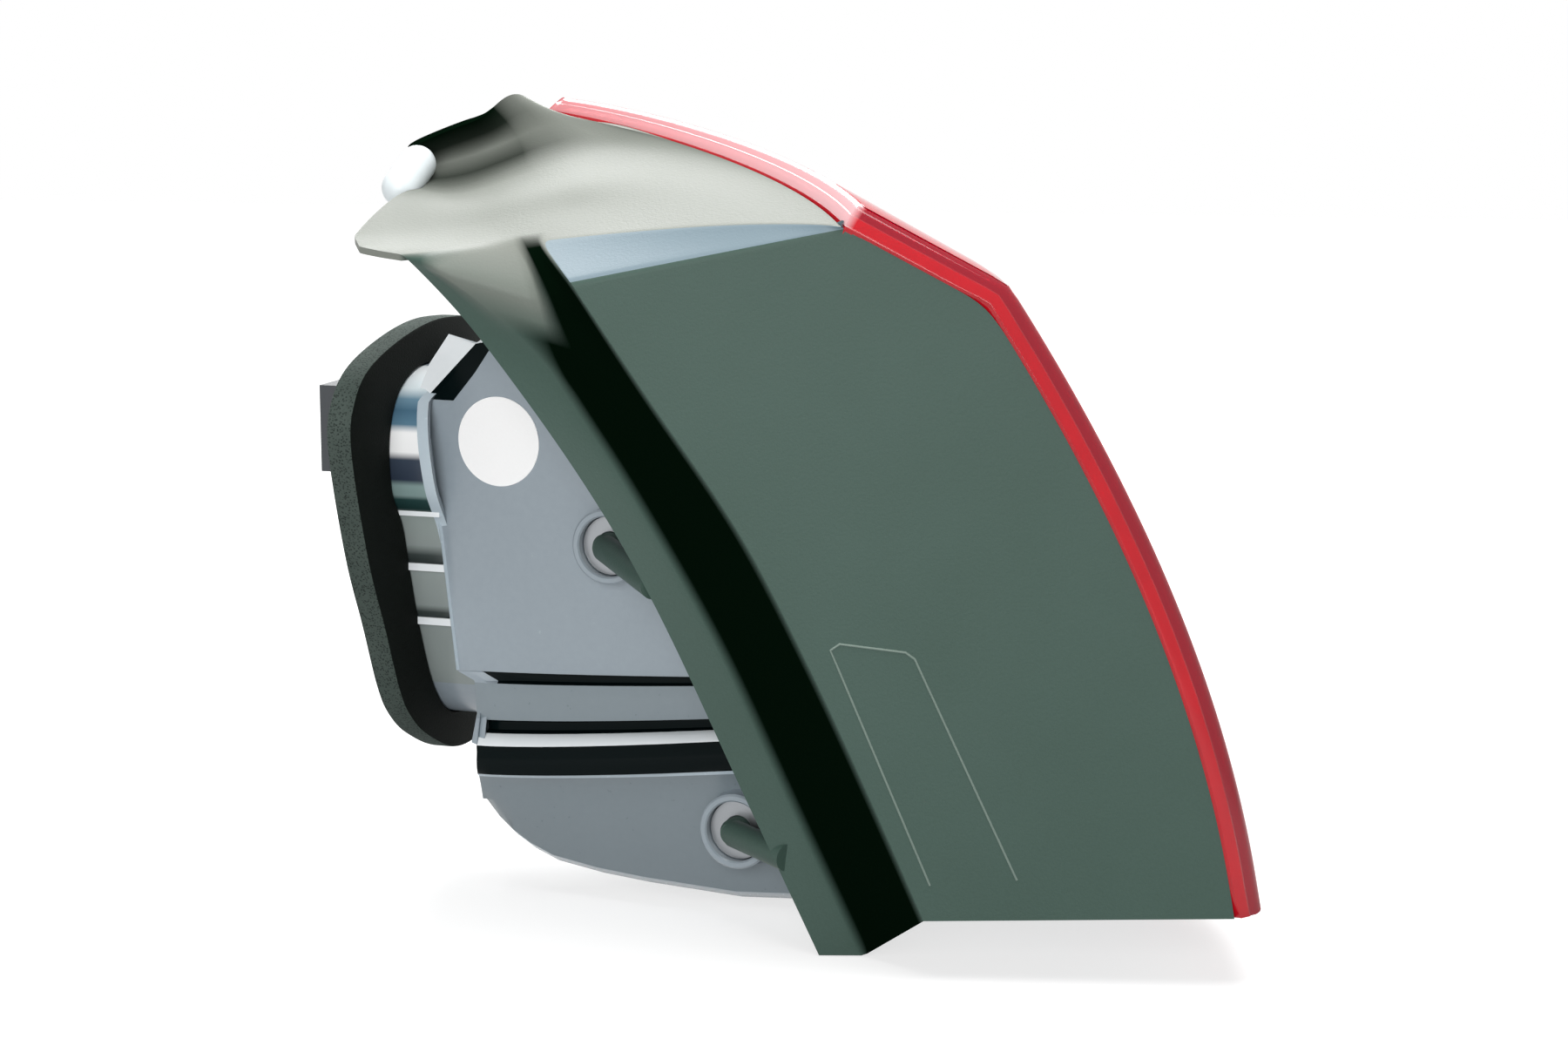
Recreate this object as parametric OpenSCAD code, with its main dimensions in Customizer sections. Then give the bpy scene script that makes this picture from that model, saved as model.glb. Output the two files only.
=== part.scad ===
// Rear corner lamp for the right-hand side of a hatchback, seen in the photograph from its inner side.
// X runs rearward, Y outboard and Z up. The origin is the root of the main mounting stud.
// Outlines are drawn on a 300 x 160 x 270 mm blank and stretched to the three overall sizes.

/* [Overall size] */
// Length from the port gasket to the tail of the lens
lamp_len = 300; // [270:5:330]
// Depth from the trim ridge to the outboard edge of the lens
lamp_depth = 160; // [145:5:180]
// Height from the foot of the trim to the tip of the wing
lamp_height = 270; // [245:5:300]

/* [Lens] */
// Wall of the lens
lens_wall = 2.8; // [2.2:0.1:3.4]
// Width of the rim that stands behind the trim edge
rim_width = 7.5; // [6:0.5:10]
// Length of the foot that is bonded to the housing
foot_len = 8; // [6:0.5:11]
// Thickness of the bonding bead between foot and housing
bead_gap = 1.6; // [1.2:0.1:2.4]

/* [Trim] */
// Wall of the side trim
trim_wall = 2.4; // [1.8:0.1:3]
// Gap between the trim edge and the lens rim
trim_gap = 0.5; // [0.4:0.1:0.8]
// Radius of the stays that hold the trim to the housing
stay_r = 4.5; // [3.5:0.25:5.5]

/* [Housing] */
// Wall of the housing
shell_wall = 2.6; // [2:0.1:3.2]
// Thickness of the port flange
flange_t = 2.5; // [2:0.25:3]
// Wall of the neck behind the flange
neck_wall = 2.5; // [2:0.25:3]
// Outer radius of the collars that take the trim stays
collar_r = 12.5; // [11:0.5:14]
// Height of those collars
collar_h = 7; // [5:0.5:9]
// Thickness of the three neck ribs
rib_t = 2.5; // [1.5:0.25:3.5]

/* [Port] */
// Thickness of the foam gasket around the port
gasket_t = 9; // [8:0.5:12]
// How far the gasket grips the flange
gasket_grip = 12; // [8:1:16]
// Toe angle of the port face
port_toe = 8; // [5:0.5:11]
// Diameter of the mounting studs
stud_d = 6; // [5:1:8]
// Length of the studs beyond their seats
stud_len = 18; // [14:1:20]
// Diameter of the ball on the locating pin
ball_d = 9; // [7:0.5:11]

/* [Bulbs] */
// Diameter of the bulb glass
glass_d = 25; // [21:0.5:26]
// Wall of the bulb glass
glass_wall = 1; // [0.8:0.1:1.4]
// Diameter of the bayonet cap
cap_d = 15; // [14:0.5:16]
// Length of the bayonet cap
cap_len = 18; // [16:0.5:20]
// Wall of the bulb sockets
socket_wall = 3; // [2:0.25:3.5]

/* [Carrier and connector] */
// Thickness of the carrier plate
carrier_t = 3; // [2.5:0.25:3.5]
// Thickness of the foam seal under the carrier
seal_t = 0.8; // [0.6:0.1:1.2]
// Width and height of the connector shroud
shroud_size = 30; // [26:1:32]
// Depth of the connector shroud
shroud_len = 29; // [24:1:31]
// Wall of the connector shroud
shroud_wall = 2; // [1.5:0.25:2.5]
// Side of the square connector pins
pin_t = 1; // [0.8:0.1:1.4]
// Thickness of the brass contact strips
track_t = 0.8; // [0.6:0.1:1]

/* [Label] */
// Diameter of the blank round label
label_d = 30; // [24:1:34]

/* [Hidden] */
$fn = 48;
fit = 0.3;
eps = 0.01;

// Stretch from the drawing blank to the chosen size
stretch = [lamp_len / 300, lamp_depth / 160, lamp_height / 270];
function on_blank(p) = [p[0] * stretch[0], p[1] * stretch[1], p[2] * stretch[2]];

// Small vector tools
function unit(v) = v / norm(v);
function mix(a, b, t) = a + (b - a) * t;
function knot(p, i) = p[max(0, min(len(p) - 1, i))];
function cubic(a, b, c, d, f) = 0.5 * (2 * b + (c - a) * f + (2 * a - 5 * b + 4 * c - d) * f * f
    + (3 * b - a - 3 * c + d) * f * f * f);
function through(p, t) = let (s = t * (len(p) - 1), i = min(floor(s), len(p) - 2), f = s - i)
    cubic(knot(p, i - 1), knot(p, i), knot(p, i + 1), knot(p, i + 2), f);
function bezier(a, b, c, d, t) = let (u = 1 - t)
    u * u * u * a + 3 * u * u * t * b + 3 * u * t * t * c + t * t * t * d;
function flat(list) = [for (row = list) for (item = row) item];
function span(path, n) = [for (k = [0:n - 1]) let (s = k / n * (len(path) - 1), i = floor(s))
    mix(path[i], path[min(i + 1, len(path) - 1)], s - i)];
function centre(ring) = let (one = [for (p = ring) 1]) one * ring / len(ring);
function shrink(ring, d, c) = [for (p = ring) p + d * unit(c - p)];

// Faces of sheets, belts and lofts, listed clockwise from outside
function quad(a, b, c, d) = [[a, b, c], [a, c, d]];
function belt(n, from, to) = flat([for (k = [0:n - 1]) let (m = (k + 1) % n)
    quad(from + k, to + k, to + m, from + m)]);

// Trim edge: a bowed lower run, a bend, and a straight upper run to the top corner
bend_at = 0.8;
function panel_y(x) = 0.1 * (x - 50);
function edge_xz(t) = t < bend_at
    ? let (s = t / bend_at) (1 - s) * (1 - s) * [148, 22.5] + 2 * s * (1 - s) * [134.5, 112]
        + s * s * [70.5, 211]
    : mix([70.5, 211], [27.5, 234], (t - bend_at) / (1 - bend_at));
function edge(t) = let (p = edge_xz(t)) on_blank([p[0], panel_y(p[0]), p[1]]);
function edge_out(t) = let (d = edge(min(1, t + 0.01)) - edge(max(0, t - 0.01))) unit([d[2], 0, -d[0]]);

// Lens skin: arcs from the inner edge to the outboard edge, boxy below and nearly straight on top
outboard_edge = [for (p = [[28, 150, 8], [22, 157, 75], [2, 157, 140], [-35, 140, 208], [-84, 101, 268]])
    on_blank(p)];
function skin_start(t) = edge(t) + rim_width * edge_out(t) + [0, rim_width / 2, 0];
function skin(t, v) = let (
        a = skin_start(t),
        d = through(outboard_edge, t),
        b = a + on_blank(mix(95, 40, t) * unit(mix([-0.1, 1, 0], [-0.5, 0.84, 0.36], t * t))),
        c = d + on_blank(mix(80, 38, t) * unit(mix([1, 0.1, 0], [0.83, -0.5, -0.05], t * t))))
    bezier(a, b, c, d, v);
function skin_out(t, v) = let (e = 0.01)
    unit(cross(skin(t, min(1, v + e)) - skin(t, max(0, v - e)),
        skin(min(1, t + e), v) - skin(max(0, t - e), v)));
function under_skin(t, v, depth) = skin(t, v) - depth * skin_out(t, v);

// The rim of the lens is walked as one loop: up the inner edge, over the top, down and back
rows = 15;
cols = 12;
loop = 2 * (rows + cols);
function walk(k) = k <= rows ? [k, 0]
    : k <= rows + cols ? [rows, k - rows]
    : k <= 2 * rows + cols ? [2 * rows + cols - k, cols]
    : [0, loop - k];
function side(k) = k < rows ? 0 : k < rows + cols ? 1 : k < 2 * rows + cols ? 2 : 3;
rim_proud = 0.3;
function rim_step(t, s, v) =
    s == 0 ? edge(t) - skin_start(t) + rim_proud * (edge_out(t) - [0, 1, 0])
    : s == 1 ? mix(rim_step(1, 0, 0), 0.55 * rim_width * [-1, -1, -1.1], v)
    : s == 2 ? mix([-0.6, -0.2, 0], [-0.55, -0.55, -0.6], t * t * t * t) * rim_width
    : let (n = skin_out(0, v)) -0.7 * rim_width * unit([n[0], n[1], 0.2]);
function foot_dir(t, s, v) =
    s == 0 ? unit([0, 0.42, 0] - edge_out(t))
    : s == 1 ? unit([-0.15, -0.1, -1])
    : s == 2 ? unit(mix([-1, -1, 0], [-0.4, -0.4, -1], t * t * t * t))
    : let (n = skin_out(0, v)) unit([-n[0], -n[1], 0.1]);
function inward(t, s, v) =
    s == 0 ? [0, 1, 0]
    : s == 1 ? unit([0.55, 0.7, -0.45])
    : s == 2 ? unit([-0.1, -1, 0])
    : [0, 0, 1];
function at_side(k, s) = let (w = walk(k)) [w[0] / rows, s, w[1] / cols];
function before(k) = side((k + loop - 1) % loop);
function step_at(k) = let (a = at_side(k, side(k)), b = at_side(k, before(k)))
    (rim_step(a[0], a[1], a[2]) + rim_step(b[0], b[1], b[2])) / 2;
function foot_at(k) = let (a = at_side(k, k == rows ? 0 : side(k)), b = at_side(k, before(k)))
    unit(foot_dir(a[0], a[1], a[2]) + foot_dir(b[0], b[1], b[2]));
function inward_at(k) = let (a = at_side(k, side(k)), b = at_side(k, before(k)))
    unit(inward(a[0], a[1], a[2]) + inward(b[0], b[1], b[2]));
function skin_at(k) = let (w = walk(k)) skin(w[0] / rows, w[1] / cols);

steps = [for (k = [0:loop - 1]) step_at(k)];
feet = [for (k = [0:loop - 1]) foot_at(k)];
inwards = [for (k = [0:loop - 1]) inward_at(k)];
rim_edge = [for (k = [0:loop - 1]) skin_at(k) + steps[k]];
function rim_ring(depth, in) = [for (k = [0:loop - 1]) rim_edge[k] + depth * feet[k] + in * inwards[k]];

// Windows of clear plastic in the red lens, as cells of the skin
function in_window(i, j) = j >= 3 && j <= 9 && ((i >= 2 && i <= 4) || (i >= 6 && i <= 8));
function cell_faces(ni, nj, keep, base, under, walled) = flat([for (i = [0:ni - 1]) for (j = [0:nj - 1])
    if (keep[i][j]) let (
        a = i * (nj + 1) + j, b = a + 1, d = a + nj + 1, c = d + 1,
        west = j == 0 ? walled : !keep[i][j - 1],
        east = j == nj - 1 ? walled : !keep[i][j + 1],
        south = i == 0 ? walled : !keep[i - 1][j],
        north = i == ni - 1 ? walled : !keep[i + 1][j])
    concat(quad(base + a, base + d, base + c, base + b),
        quad(under + a, under + b, under + c, under + d),
        east ? quad(base + b, base + c, under + c, under + b) : [],
        west ? quad(base + a, under + a, under + d, base + d) : [],
        north ? quad(base + d, under + d, under + c, base + c) : [],
        south ? quad(base + a, base + b, under + b, under + a) : [])]);
function full(ni, nj) = [for (i = [0:ni - 1]) [for (j = [0:nj - 1]) true]];
module sheet(top, under, keep) {
    ni = len(top) - 1;
    nj = len(top[0]) - 1;
    polyhedron(concat(flat(top), flat(under)),
        cell_faces(ni, nj, keep, 0, (ni + 1) * (nj + 1), true), convexity = 6);
}
function skin_grid(depth) = [for (i = [0:rows]) [for (j = [0:cols]) under_skin(i / rows, j / cols, depth)]];
function patch(t0, t1, v0, v1, n, depth) = [for (i = [0:n]) [for (j = [0:n])
    under_skin(mix(t0, t1, i / n), mix(v0, v1, j / n), depth)]];

module red_lens() {
    count = (rows + 1) * (cols + 1);
    keep = [for (i = [0:rows - 1]) [for (j = [0:cols - 1]) !in_window(i, j)]];
    inner = [for (i = [0:rows]) [for (j = [0:cols])
        under_skin(i / rows, j / cols, lens_wall)
            + (i == 0 || i == rows || j == 0 || j == cols ? lens_wall * inwards[place(i, j)] : [0, 0, 0])]];
    points = concat(flat(skin_grid(0)), flat(inner), rim_ring(0, 0), rim_ring(foot_len, 0),
        rim_ring(foot_len, lens_wall), rim_ring(0, lens_wall));
    rim = [for (k = [0:loop - 1]) let (w = walk(k)) w[0] * (cols + 1) + w[1]];
    ring = [for (r = [0:3]) [for (k = [0:loop - 1]) 2 * count + r * loop + k]];
    chain = [rim, ring[0], ring[1], ring[2], ring[3], [for (p = rim) p + count]];
    color([0.85, 0.05, 0.1, 0.85]) lamp() polyhedron(points,
        concat(cell_faces(rows, cols, keep, 0, count, false),
            flat([for (c = [0:4]) for (k = [0:loop - 1]) let (m = (k + 1) % loop)
                quad(chain[c][k], chain[c + 1][k], chain[c + 1][m], chain[c][m])])), convexity = 6);
}
function place(i, j) = j == 0 ? i : i == rows ? rows + j : j == cols ? 2 * rows + cols - i : loop - j;

module clear_window() {
    keep = [for (i = [0:rows - 1]) [for (j = [0:cols - 1]) in_window(i, j)]];
    color([0.92, 0.94, 0.95, 0.6]) lamp() sheet(skin_grid(0), skin_grid(lens_wall), keep);
}

bead_play = 0.5;
bead_inset = 0.7;
module lens_bead() {
    near = foot_len + bead_play;
    far = foot_len + bead_gap - bead_play;
    color("dimgray") lamp() closed_ring([rim_ring(near, bead_inset), rim_ring(far, bead_inset),
        rim_ring(far, lens_wall - bead_inset), rim_ring(near, lens_wall - bead_inset)]);
}
module closed_ring(rings) {
    n = len(rings[0]);
    count = len(rings);
    polyhedron(flat(rings), flat([for (r = [0:count - 1]) belt(n, r * n, (r + 1) % count * n)]), convexity = 6);
}

// Reflex reflector: a thin prismatic block bonded behind the red strip at the foot of the lens
reflex_t = 2.5;
module reflex_reflector() {
    depth = lens_wall + fit;
    color("crimson") lamp() sheet(patch(0.04, 0.12, 0.16, 0.84, 10, depth),
        patch(0.04, 0.12, 0.16, 0.84, 10, depth + reflex_t), full(10, 10));
}

// Housing: a flat-sided box that flares to the lens rim, with a rolled lobe along its foot
side_slope = 0.2226;
function side_y(x) = 47.2 - side_slope * x;
// Offset from the side plane, height, and rise towards the lens, of each point of the side profile, foot to top
groove_depth = 3;
function side_profile(k, foot, top) = let (groove = groove_depth * min(1, 8 * k)) [[30, foot, 0], [10, foot + 2, 0],
    [0, foot + 9, 0], [-6, 42, 19], [-8, 46, 20], [-9, 51, 20], [-6, 56, 18], [-1, 58.5, 17], [0, 60, 16],
    [0, 73.5, 12], [groove, 74.5, 11], [groove, 75.2, 10], [0, 76, 10], [0, 125, 0], [0, 168.3, 0], [0, top, 0]];
front_x = [-107, -107, -107, -107, -107, -107, -108, -109, -110, -110, -112, -113, -116, -121.5, -126.6, -107.7];
rear_foot_x = 60;
rear_top_x = -30;
function side_path(k, foot, top) = let (profile = side_profile(k, foot, top)) [for (i = [0:rows]) let (
        rear_x = mix(rear_foot_x, rear_top_x, (profile[i][1] - foot) / (top - foot)),
        x = mix(front_x[i], rear_x, k))
    [x, side_y(x) + profile[i][0], profile[i][1] + profile[i][2] * pow(k, 1.3)]];
function box_ring(k, foot, top, outer) = let (inner_side = side_path(k, foot, top)) [for (p = concat(
        [for (i = [0:rows - 1]) inner_side[i]],
        span([inner_side[rows], outer[0]], cols),
        span(outer, rows),
        span([outer[len(outer) - 1], inner_side[0]], cols))) on_blank(p)];
front_outer = [[-110, 122, 190], [-118, 138, 168], [-112, 140, 75], [-105, 132, 40]];
rear_outer = [[-92, 108, 222], [-78, 133, 185], [-48, 141, 105], [-14, 138, 20]];
rear_foot = 10;
rear_top = 205;
box_front = box_ring(0, 26, 187.7, front_outer);
box_middle = box_ring(0.15, 8.5, 190.3, mix(front_outer, rear_outer, 0.15));
box_waist = box_ring(0.55, 3.5, 197.2, mix(front_outer, rear_outer, 0.55));
box_rear = box_ring(1, rear_foot, rear_top, rear_outer);
// Behind the side features the wall is plain, and its points spread evenly up to the lens
plain_run = 6;
plain_side = [for (i = [0:rows]) let (
        z = mix(rear_foot, rear_top, i / rows),
        x = mix(rear_foot_x, rear_top_x, i / rows) + plain_run)
    on_blank([x, side_y(x) + (i == 0 ? 26 : i == 1 ? 4 : 0), z])];
box_plain = [for (k = [0:loop - 1]) k <= rows ? plain_side[k] : box_rear[k] + [plain_run * stretch[0], 0, 0]];
wall_slant = 1.4;
function inside(ring) = shrink(ring, shell_wall * wall_slant, centre(ring));
front_skip = [shell_wall, 0, 0];
throat_run = 12;
rim_seat = foot_len + bead_gap;
function throat_ring(in) = rim_ring(rim_seat + throat_run, throat_run / 2 + in);
shell_rings = [rim_ring(rim_seat, 0), throat_ring(0), box_plain, box_rear, box_waist, box_middle, box_front];
cavity_rings = [[for (p = inside(box_front)) p + front_skip], inside(box_middle), inside(box_waist),
    inside(box_rear), inside(box_plain), throat_ring(shell_wall), rim_ring(rim_seat, lens_wall)];

module shell() {
    n = loop;
    rings = concat(shell_rings, cavity_rings);
    tips = [centre(box_front), centre(box_front) + front_skip];
    half = len(shell_rings);
    last = 2 * half * n;
    polyhedron(concat(flat(rings), tips), concat(
        flat([for (r = [0:half - 2]) belt(n, r * n, (r + 1) * n)]),
        [for (k = [0:n - 1]) [(half - 1) * n + k, last, (half - 1) * n + (k + 1) % n]],
        [for (k = [0:n - 1]) [last + 1, half * n + k, half * n + (k + 1) % n]],
        flat([for (r = [half:2 * half - 2]) belt(n, r * n, (r + 1) * n)]),
        belt(n, (2 * half - 1) * n, 0)), convexity = 8);
}

// Port frame: x runs into the lamp, y outboard and z up, with its zero at the gasket face
port_zero = on_blank([-149.2, 40, 0]);
module port() { translate(port_zero) rotate([0, 0, -port_toe]) children(); }
function in_port(p) = port_zero + [p[0] * cos(port_toe) + p[1] * sin(port_toe),
    -p[0] * sin(port_toe) + p[1] * cos(port_toe), p[2]];
function port_2d(p) = [p[0] * stretch[1], p[1] * stretch[2]];
function closed(path, n) = let (m = len(path)) [for (i = [0:m - 1]) for (f = [0:n - 1])
    cubic(path[(i + m - 1) % m], path[i], path[(i + 1) % m], path[(i + 2) % m], f / n)];
gasket_path = [for (p = [[80, 191.5], [50, 190], [17, 182], [3, 171], [0, 155], [10.5, 118.3], [22.3, 92.4],
    [32.6, 69.2], [41, 58], [55, 48], [80, 38], [105, 40], [116, 56], [118, 110], [118, 165], [108, 186]])
    port_2d(p)];
neck_path = [for (p = [[57, 177], [38, 170.5], [29.5, 157], [30, 139], [38, 125], [42.5, 110], [50, 87.5],
    [60, 66], [72, 54], [85, 52], [92, 62], [92, 110], [92, 155], [84, 173]]) port_2d(p)];
// The extrusion runs along x: the drawing's first axis becomes y and its second z
module along(from, length) {
    translate([from, 0, 0]) rotate([90, 0, 90]) linear_extrude(height = length) children();
}
module gasket_2d(inset) { inset_shape(closed(gasket_path, 3), inset); }
module neck_2d(inset) { inset_shape(closed(neck_path, 3), inset); }
// Moves each point of a closed outline inwards by one distance
module inset_shape(path, d) {
    n = len(path);
    polygon([for (i = [0:n - 1]) let (
            before = unit(path[i] - path[(i + n - 1) % n]),
            after = unit(path[(i + 1) % n] - path[i]),
            normal = unit([before[1] + after[1], -before[0] - after[0]]))
        path[i] - d * normal / max(0.6, normal * [after[1], -after[0]])]);
}
flange_x = 3.2;
neck_end = flange_x + flange_t;
boss_seat = 1;
stud_grip = 9;
stud_root_d = stud_d + 2;
neck_len = 26;
rib_heights = [129, 109, 89];
rib_reach = 5;
// Vent spigot on the roof, and the boss of the locating pin on the outboard wall
vent_site = [-100, 104, 218];
vent_r = 5;
vent_len = 25;
pin_site = [-58, 143.4, 62];
pin_boss_r = 6.5;
pin_boss_len = 22;
pin_stem_d = 5;
pin_grip = 10;
stud_sites = [[104, 148], [104, 78]];
stud_boss_r = stud_root_d / 2 + 4;
collar_sites = [[-58, 124], [-13, 34]];
collar_lift = [0, -4];
collar_root = 4;

module at_stud(i) {
    spot = port_2d(stud_sites[i]);
    port() translate([boss_seat, spot[0], spot[1]]) rotate([0, 90, 0]) children();
}
// Outward normal of the side face is taken along local z
module at_collar(i) {
    x = collar_sites[i][0];
    translate(on_blank([x, side_y(x) + collar_lift[i], collar_sites[i][1]]))
        rotate([90, 0, -atan(side_slope * stretch[1] / stretch[0])]) children();
}
module housing() {
    color([0.55, 0.58, 0.62]) lamp() difference() {
        union() {
            shell();
            port() {
                along(flange_x, flange_t) gasket_2d(gasket_grip / 4);
                along(neck_end - eps, neck_len * stretch[0]) neck_2d(0);
                for (z = rib_heights) neck_rib(z);
            }
            translate(on_blank(vent_site)) translate([0, 0, -vent_len]) cylinder(r = vent_r, h = vent_len);
            translate(on_blank(pin_site)) rotate([0, 90, 0]) cylinder(r = pin_boss_r, h = pin_boss_len);
            for (i = [0, 1]) at_stud(i) cylinder(r = stud_boss_r, h = stud_grip + shell_wall);
            for (i = [0, 1]) at_collar(i) translate([0, 0, -collar_root]) cylinder(r = collar_r, h = collar_h + collar_root);
        }
        port() along(-1, (neck_len + 14) * stretch[0]) neck_2d(neck_wall);
        for (i = [0, 1]) at_stud(i) translate([0, 0, -1]) cylinder(d = stud_root_d + 2 * fit, h = stud_grip + 1 + fit);
        translate(on_blank(vent_site)) translate([0, 0, -vent_len - 8]) cylinder(r = vent_r - 2, h = vent_len + 9);
        translate(on_blank(pin_site)) rotate([0, 90, 0]) translate([0, 0, -1])
            cylinder(d = pin_stem_d + 2 * fit, h = pin_grip + 1 + fit);
        for (i = [0, 1]) at_collar(i) cylinder(r = collar_r - neck_wall, h = collar_h + 1);
    }
}
module neck_rib(z) {
    spot = port_2d([mix(62, 36, (z - 60) / 80), z]);
    translate([neck_end + 4, spot[0] - rib_reach, spot[1]]) cube([16 * stretch[0], rib_reach + 9, rib_t]);
}
module lamp() { translate(-in_port([boss_seat, port_2d(stud_sites[0])[0], port_2d(stud_sites[0])[1]])) children(); }

// Side trim. Four rails run up its side: lip edge, foot of the band, ridge and lens edge
lip_rail = [[16.5, 20.6, 0], [-8, 18.2, 55.9], [-38, 15.2, 111.7], [-65, 14, 151.6], [-90.5, 15, 193.8],
    [-113.5, 9, 222.5]];
band_rail = [[30.8, 22.1, 0.3], [8, 20, 50], [-16, 17.3, 103], [-44, 14.6, 153], [-66, 12.5, 189],
    [-70.7, 11.9, 210.2]];
ridge_rail = [[52.6, 0.3, 19.5], [35.5, -1.5, 59], [17, -3.3, 99.5], [-4, -5.4, 140.5], [-31.5, -8.2, 181.5],
    [-54.6, -10.5, 216.7]];
function lens_side(t) = edge(t) - trim_gap * edge_out(t);
// Where each column lies: the strip it is on, and how far across that strip
columns = [[0, 0], [0, 0.5], [0, 0.86], [1, 0.06], [1, 0.3], [1, 0.72], [1, 0.93], [2, 0], [2, 0.05],
    [2, 0.35], [2, 0.7], [2, 0.95], [2, 1]];
across = [0, 0.13, 0.22, 0.28, 0.31, 0.36, 0.4, 0.42, 0.45, 0.59, 0.76, 0.93, 1];
function side_row(t) = let (rails = [on_blank(through(lip_rail, t)), on_blank(through(band_rail, t)),
        on_blank(through(ridge_rail, t)), lens_side(t)])
    [for (c = columns) mix(rails[c[0]], rails[c[0] + 1], c[1])];
// Rows over the shoulder and up the wing, from the crease to the top of the upstand
shoulder_rows = [
    [[-114, 9, 223], [-92, 9, 226], [-71, 8, 228.3], [-46, 6.4, 231], [-19, 4, 233.3], [9, 0, 235.6]],
    [[-134, 30, 224], [-107, 28, 228], [-80, 30, 233.5], [-55, 29, 237.5], [-33, 28, 241], [-12, 28, 244]],
    [[-127, 50, 238], [-107, 46, 234.5], [-85, 48, 239.5], [-66, 49, 243.5], [-48, 49.5, 247], [-31, 50, 250]],
    [[-121, 62, 239.5], [-111, 63, 238.5], [-97, 70, 243.5], [-84, 75, 249], [-70, 75.5, 253], [-56, 73.5, 255.5]],
    [[-125, 71, 246], [-113, 77, 249], [-101, 84, 253.5], [-92, 88, 257], [-84, 89, 259.5], [-76, 86.5, 261]],
    [[-130, 73, 251], [-119, 80, 256.5], [-108, 87, 261], [-104, 95, 267], [-99, 100, 272], [-94, 98.5, 267.5]]];
// The shoulder keeps one row for each column of the lens, so the two edges run side by side
side_rows = rows;
shoulder_cuts = 8;
upstand_cuts = cols - shoulder_cuts;
function top_edge(i) = rim_edge[rows + i] - trim_gap * [1.6, 1.6, 0.6] * (i > shoulder_cuts ? 1.5 : 1);
net_stops = [0, shoulder_cuts / 3, 2 * shoulder_cuts / 3, shoulder_cuts, shoulder_cuts + upstand_cuts / 2, cols];
shoulder_net = [for (i = [0:5]) let (a = floor(net_stops[i]), f = net_stops[i] - a)
    concat([for (p = shoulder_rows[i]) on_blank(p)], [mix(top_edge(a), top_edge(min(cols, a + 1)), f)])];
function net_row(net, s, i) = let (path = [for (j = [0:6]) through([for (row = net) row[j]], s)])
    [for (u = across) u == 1 ? top_edge(i) : through(path, u)];
trim_face = concat([for (i = [0:side_rows]) side_row(i / side_rows)],
    [for (i = [0:shoulder_cuts]) net_row([for (r = [0:3]) shoulder_net[r]], i / shoulder_cuts, i)],
    [for (i = [1:upstand_cuts]) net_row([for (r = [3:5]) shoulder_net[r]], i / upstand_cuts, shoulder_cuts + i)]);
function sheet_out(g, i, j) = let (m = len(g) - 1, n = len(g[0]) - 1)
    unit(cross(g[i][min(n, j + 1)] - g[i][max(0, j - 1)], g[min(m, i + 1)][j] - g[max(0, i - 1)][j]));
scarf = 0.85;
trim_back = [for (i = [0:len(trim_face) - 1]) [for (j = [0:len(columns) - 1]) let (p = trim_face[i][j])
    i <= side_rows && j == len(columns) - 1
        ? p + trim_wall * [0, 1, 0] - scarf * foot_len * edge_out(i / side_rows)
        : i > side_rows && j > len(columns) - 3
        ? p + trim_wall * mix([-0.35, -0.35, -0.9], [-0.8, -0.75, -0.5], (i - side_rows) / cols)
        : p - trim_wall * sheet_out(trim_face, i, j)]];
stay_ends = [[-36, 18, 119], [6, 20.5, 32]];
collar_clear = 1;
module stay(i) {
    x = collar_sites[i][0];
    angle = atan(side_slope * stretch[1] / stretch[0]);
    root = on_blank([x, side_y(x) + collar_lift[i], collar_sites[i][1]]) - collar_clear * [sin(angle), cos(angle), 0];
    knee = root - collar_h * [sin(angle), cos(angle), 0];
    rod(root, knee, stay_r);
    translate(knee) sphere(r = stay_r);
    rod(knee, on_blank(stay_ends[i]), stay_r);
}
module rod(from, to, r) {
    run = to - from;
    translate(from) rotate([0, acos(run[2] / norm(run)), atan2(run[1], run[0])]) cylinder(r = r, h = norm(run));
}
module trim_panel() {
    color([0.35, 0.38, 0.36]) lamp() union() {
        sheet(trim_face, trim_back, full(len(trim_face) - 1, len(columns) - 1));
        for (i = [0, 1]) stay(i);
    }
}

// Reflector plane: parallel to the lens opening and a little inside it
opening_point = on_blank([30, 66, 125]);
opening_out = unit(cross(edge(0) - outboard_edge[4], edge(0) - edge(1)));
turn_z = atan2(opening_out[1], opening_out[0]);
turn_y = acos(opening_out[2]);
plane_down = [cos(turn_z) * cos(turn_y), sin(turn_z) * cos(turn_y), -sin(turn_y)];
plane_side = [-sin(turn_z), cos(turn_z), 0];
module on_plane(lift) {
    translate(opening_point + lift * opening_out) rotate([0, turn_y, turn_z]) children();
}
function height_over(p) = (p - opening_point) * opening_out;
function crossing(a, b, lift) = mix(a, b, (height_over(a) - lift) / (height_over(a) - height_over(b)));
function to_plane(p) = [(p - opening_point) * plane_down, (p - opening_point) * plane_side];
function depth_at(k, lift, r = len(cavity_rings) - 2) = r == 0 || height_over(cavity_rings[r][k]) < lift ? r : depth_at(k, lift, r - 1);
// Exact section of the cavity: a point on each rail, diagonal and ring that the plane crosses between two rails
function cavity_outline(lift) = flat([for (k = [0:loop - 1]) let (
        m = (k + 1) % loop,
        r = depth_at(k, lift),
        q = depth_at(m, lift),
        low = cavity_rings[r],
        up = cavity_rings[r + 1],
        pairs = concat([[up[k], low[k]]], r >= q ? [[up[m], low[k]]] : [[up[k], up[m]]],
            r > q ? [[low[m], low[k]], [low[m], cavity_rings[r - 1][k]]] : []))
    [for (p = pairs) to_plane(crossing(p[0], p[1], lift))]]);

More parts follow.
